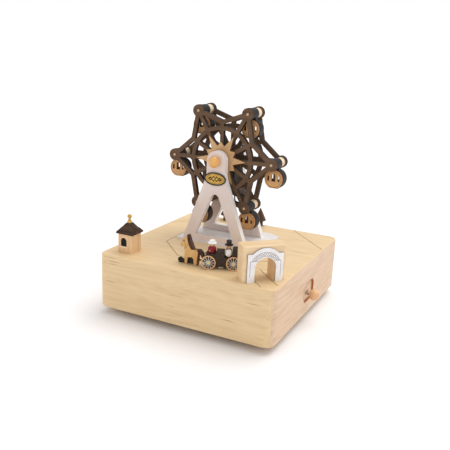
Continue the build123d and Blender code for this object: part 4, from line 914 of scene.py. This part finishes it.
def turned(name, spot, steps, material, sides=48, start=0.0):
    # a disc that is drawn up and widened or narrowed through (radius, height) steps, as on a lathe
    bpy.ops.object.select_all(action="DESELECT")
    radius, height = steps[0]
    foot = (spot[0], spot[1], spot[2] + height)
    bpy.ops.mesh.primitive_circle_add(
        vertices=sides, radius=radius, fill_type="NGON", location=foot, rotation=(0, 0, start)
    )
    piece = bpy.context.object
    piece.name = name
    bpy.ops.object.transform_apply(location=True, rotation=True)
    bpy.ops.object.mode_set(mode="EDIT")
    bpy.ops.mesh.select_all(action="SELECT")
    for (wide, low), (nextWide, high) in zip(steps, steps[1:]):
        bpy.ops.mesh.extrude_region_move(TRANSFORM_OT_translate={"value": (0, 0, high - low)})
        share = nextWide / wide
        middle = (spot[0], spot[1], spot[2] + high)
        bpy.ops.transform.resize(value=(share, share, 1), center_override=middle)
    bpy.ops.mesh.select_all(action="SELECT")
    bpy.ops.mesh.normals_make_consistent(inside=False)
    bpy.ops.object.mode_set(mode="OBJECT")
    return settle(piece, material)


def egg(name, spot, size, material, turn=(0, 0, 0)):
    bpy.ops.object.select_all(action="DESELECT")
    bpy.ops.mesh.primitive_uv_sphere_add(segments=32, ring_count=18, radius=1, location=spot, rotation=turn)
    piece = bpy.context.object
    piece.name = name
    piece.scale = size
    return settle(piece, material, 80.0)


def joined(name, pieces):
    pickOnly(*pieces)
    bpy.ops.object.join()
    piece = bpy.context.object
    piece.name = name
    return piece


# the two peg dolls: turned bodies and hats, arms to the front. Sizes are in millimetres, and the
# coats and hats are (radius, height) steps above the seat
dollPaints = {
    # light, dark, roughness and coat
    "whiteHat": (shade(250, 248, 246), shade(238, 234, 231), 0.4, 0.15),
    "blackHat": (shade(34, 32, 33), shade(20, 19, 20), 0.42, 0.2),
    "face": (shade(216, 168, 126), shade(198, 146, 104), 0.45, 0.0),
    "redCoat": (shade(150, 32, 42), shade(118, 20, 30), 0.5, 0.0),
    "blackCoat": (shade(40, 33, 31), shade(24, 20, 19), 0.5, 0.0),
    "shirt": (shade(248, 244, 240), shade(232, 227, 223), 0.4, 0.2),
}
dollPatch = 400.0
dollFinish = {}
for name, (light, dark, roughness, coat) in dollPaints.items():
    paint = {"light": light, "dark": dark, "roughness": roughness, "coat": coat, "patch": dollPatch}
    dollFinish[name] = skinMaterial(name + "Paint", paint)
driverLook = {
    "seat": 10.4,
    "coatPaint": "redCoat",
    "coatSteps": [
        (0.9, 0.0), (2.2, 0.1), (2.5, 0.6), (2.7, 1.8),
        (2.75, 2.9), (2.3, 3.8), (1.3, 4.4), (0.6, 4.6),
    ],
    "head": (1.6, 5.5),
    "hatPaint": "whiteHat",
    "hatSteps": [
        (1.5, 6.35), (2.85, 6.4), (2.9, 6.6), (2.75, 6.85),
        (1.85, 7.0), (1.85, 8.1), (1.7, 8.5), (1.2, 8.65),
    ],
    "shoulder": (2.45, 2.9),
}
passengerLook = {
    "seat": 8.3,
    "coatPaint": "blackCoat",
    "coatSteps": [
        (0.9, 0.0), (2.0, 0.1), (2.25, 0.5), (2.35, 2.4),
        (2.2, 4.0), (1.8, 5.0), (1.0, 5.6), (0.6, 5.8),
    ],
    "head": (1.6, 6.7),
    "hatPaint": "blackHat",
    "hatSteps": [
        (1.5, 7.75), (2.8, 7.8), (2.85, 8.0), (2.7, 8.25),
        (1.7, 8.4), (1.7, 10.4), (1.8, 10.9), (1.65, 11.0),
    ],
    "shoulder": (2.2, 4.0),
    "shirt": (1.5, 11.1, 2.3, 2.6),
}
armLook = {
    "lean": 22.0,
    "sleeve": (0.75 * mm, 0.6 * mm, 1.5 * mm),
    "hand": (0.55 * mm, 0.45 * mm, 0.45 * mm),
    "reach": 1.3 * mm,
    "drop": 1.1 * mm,
}
headStretch = 1.1


def buildDoll(name, look, spot):
    base = Vector((spot.x, spot.y, topZ + look["seat"] * mm))
    coat, hat, skinPaint = (dollFinish[paint] for paint in (look["coatPaint"], look["hatPaint"], "face"))
    pieces = [turned(name + "Coat", base, [(r * mm, h * mm) for r, h in look["coatSteps"]], coat)]
    size, height = (length * mm for length in look["head"])
    headSpot = base + Vector((0, 0, height))
    pieces.append(egg(name + "Head", headSpot, (size, size, headStretch * size), skinPaint))
    pieces.append(turned(name + "Hat", base, [(r * mm, h * mm) for r, h in look["hatSteps"]], hat))
    out, rise = look["shoulder"]
    for side in (-1, 1):
        # sleeves hang from the shoulders and end in small hands held forwards
        shoulder = base + Vector(carriageOut) * side * out * mm + Vector((0, 0, rise * mm))
        lean = (radians(armLook["lean"] * side), 0, carriageAngle - radians(90))
        pieces.append(egg(name + "Sleeve", shoulder, armLook["sleeve"], coat, lean))
        hand = shoulder + Vector(carriageAlong) * armLook["reach"] - Vector((0, 0, armLook["drop"]))
        pieces.append(egg(name + "Hand", hand, armLook["hand"], skinPaint))
    return pieces


driverFigure = joined("driverFigure", buildDoll("driver", driverLook, boxCentre("driver")))
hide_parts("driver")
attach(driverFigure, "carriage")

# the passenger's shirt front reaches past the hat's brim on two sides, and the brim's other two sides
# give the middle
brimRadius = 2.75 * mm
passengerLow, passengerHigh = (Vector(corner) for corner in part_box("passenger"))
passengerSpot = Vector((passengerLow.x + brimRadius, passengerHigh.y - brimRadius, 0))
passengerPieces = buildDoll("passenger", passengerLook, passengerSpot)
shirtOut, shirtRise, shirtWide, shirtTall = (size * mm for size in passengerLook["shirt"])
shirtSpot = passengerSpot + Vector(carriageOut) * shirtOut + Vector((0, 0, topZ + shirtRise))
shirtSize = (shirtWide, shirtWide, shirtTall)
passengerPieces.append(egg("passengerShirt", shirtSpot, shirtSize, dollFinish["shirt"]))
passengerFigure = joined("passengerFigure", passengerPieces)
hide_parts("passenger")
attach(passengerFigure, "carriage")
print("dolls made")

# the house roof: four slopes over a thick edge, with a rough, bark-like skin
roofLook = {
    "light": shade(97, 73, 58),
    "dark": shade(58, 42, 34),
    "fleck": shade(32, 24, 21),
    "flecks": 0.9,
    "rings": 40.0,
    "ringDepth": 0.6,
    "roughness": 0.8,
    "specular": 0.2,
    "bump": 0.9,
    "steps": [(13.2, 0.2), (13.5, 0.8), (13.0, 1.6), (10.4, 3.1), (6.7, 5.1), (3.3, 7.5)],
    "cuts": 9,
    "ruffle": 0.5 * mm,
    "ruffleSize": 1.1 * mm,
    "ruffleMiddle": 0.62,
}
roofMiddle = boxCentre("house_roof")
roofSpot = (roofMiddle.x, roofMiddle.y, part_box("house_roof")[0].z)
roofSteps = [(side * mm * sqrt(0.5), height * mm) for side, height in roofLook["steps"]]
roofBark = woodMaterial("roofBark", roofLook)
houseRoofBark = turned("houseRoofBark", roofSpot, roofSteps, roofBark, 4, radians(45))
bpy.ops.object.mode_set(mode="EDIT")
bpy.ops.mesh.select_all(action="SELECT")
bpy.ops.mesh.subdivide(number_cuts=roofLook["cuts"])
bpy.ops.object.mode_set(mode="OBJECT")
barkPattern = bpy.data.textures.new("barkPattern", "CLOUDS")
barkPattern.noise_scale = roofLook["ruffleSize"]
ruffle = houseRoofBark.modifiers.new("ruffle", "DISPLACE")
ruffle.texture = barkPattern
ruffle.strength = roofLook["ruffle"]
ruffle.mid_level = roofLook["ruffleMiddle"]
bpy.ops.object.modifier_apply(modifier="ruffle")
settle(houseRoofBark, roofBark, 25.0)
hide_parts("house_roof")
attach(houseRoofBark, "block")
dress(roofBark, "house_roof")
print("roof made")

# stage, light and camera: a white sweep under an even white sky, with one broad sun high behind the part
stageLook = {
    "floorSize": 12.0,
    "floor": shade(252, 251, 252),
    "floorPatch": shade(250, 249, 251),
    "floorRoughness": 0.95,
    "floorShine": 0.05,
    "sky": 0.78,
    "sun": 1.4,
    "sunSize": 50.0,
    "sunFrom": (0.22, 0.38, 0.90),
    "sunSpot": (0.3, 0.5, 0.9),
    "sunColour": (1.0, 0.985, 0.965),
}
bpy.ops.object.select_all(action="DESELECT")
bpy.ops.mesh.primitive_plane_add(size=stageLook["floorSize"], location=(0, 0, 0))
floor = bpy.context.object
floor.name = "studioFloor"
floorMaterial, tree, shader, spots = startMaterial("studioPaper")
surface = useGroup(tree, surfaceSkin, (-400, 0), Vector=spots["Object"], Patch_Scale=3.0)
paper = blendColour(tree, surface.outputs["Patch"], stageLook["floor"], stageLook["floorPatch"], (0, 0))
tree.links.new(paper, shader.inputs["Base Color"])
shader.inputs["Roughness"].default_value = stageLook["floorRoughness"]
shader.inputs["Specular IOR Level"].default_value = stageLook["floorShine"]
floor.data.materials.append(floorMaterial)

world = bpy.data.worlds.new("studioWorld")
bpy.context.scene.world = world
world.use_nodes = True
skyTree = world.node_tree
skyLight = skyTree.nodes["Background"]
feed(skyTree, skyLight, Color=(1.0, 1.0, 1.0, 1.0), Strength=stageLook["sky"])
backdrop = addNode(skyTree, "ShaderNodeBackground", (0, -200))
feed(skyTree, backdrop, Color=(1.0, 1.0, 1.0, 1.0), Strength=1.0)
seen = addNode(skyTree, "ShaderNodeLightPath", (-200, 200))
skyChoice = addNode(skyTree, "ShaderNodeMixShader", (200, 0))
feed(skyTree, skyChoice, n0=seen.outputs["Is Camera Ray"], n1=skyLight.outputs[0], n2=backdrop.outputs[0])
skyTree.links.new(skyChoice.outputs[0], skyTree.nodes["World Output"].inputs["Surface"])

bpy.ops.object.light_add(type="SUN", location=stageLook["sunSpot"])
sun = bpy.context.object
sun.name = "broadSun"
sun.data.energy = stageLook["sun"]
sun.data.angle = radians(stageLook["sunSize"])
sun.data.color = stageLook["sunColour"]
sun.rotation_euler = Vector(stageLook["sunFrom"]).to_track_quat("Z", "Y").to_euler()

cameraLook = {
    "azimuth": 25.74,
    "elevation": 16.28,
    "roll": 2.47,
    "lens": 49.27,
    "sensor": 36.0,
    "nearest": 0.01,
    "at": (0.18434, -0.38475, 0.18298),
}
azimuth, elevation, roll = (radians(cameraLook[k]) for k in ("azimuth", "elevation", "roll"))
back = Vector((sin(azimuth) * cos(elevation), -cos(azimuth) * cos(elevation), sin(elevation)))
right = Vector((cos(azimuth), sin(azimuth), 0))
upward = back.cross(right)
rolledRight = cos(roll) * right + sin(roll) * upward
rolledUp = cos(roll) * upward - sin(roll) * right
camera = bpy.data.objects.new("photoCamera", bpy.data.cameras.new("photoCamera"))
bpy.context.scene.collection.objects.link(camera)
pose = Matrix((rolledRight, rolledUp, back)).transposed().to_4x4()
camera.matrix_world = Matrix.Translation(cameraLook["at"]) @ pose
camera.data.lens = cameraLook["lens"]
camera.data.sensor_width = cameraLook["sensor"]
camera.data.clip_start = cameraLook["nearest"]
bpy.context.scene.camera = camera
bpy.context.scene.view_settings.view_transform = "Standard"
print("stage, lights and camera set")
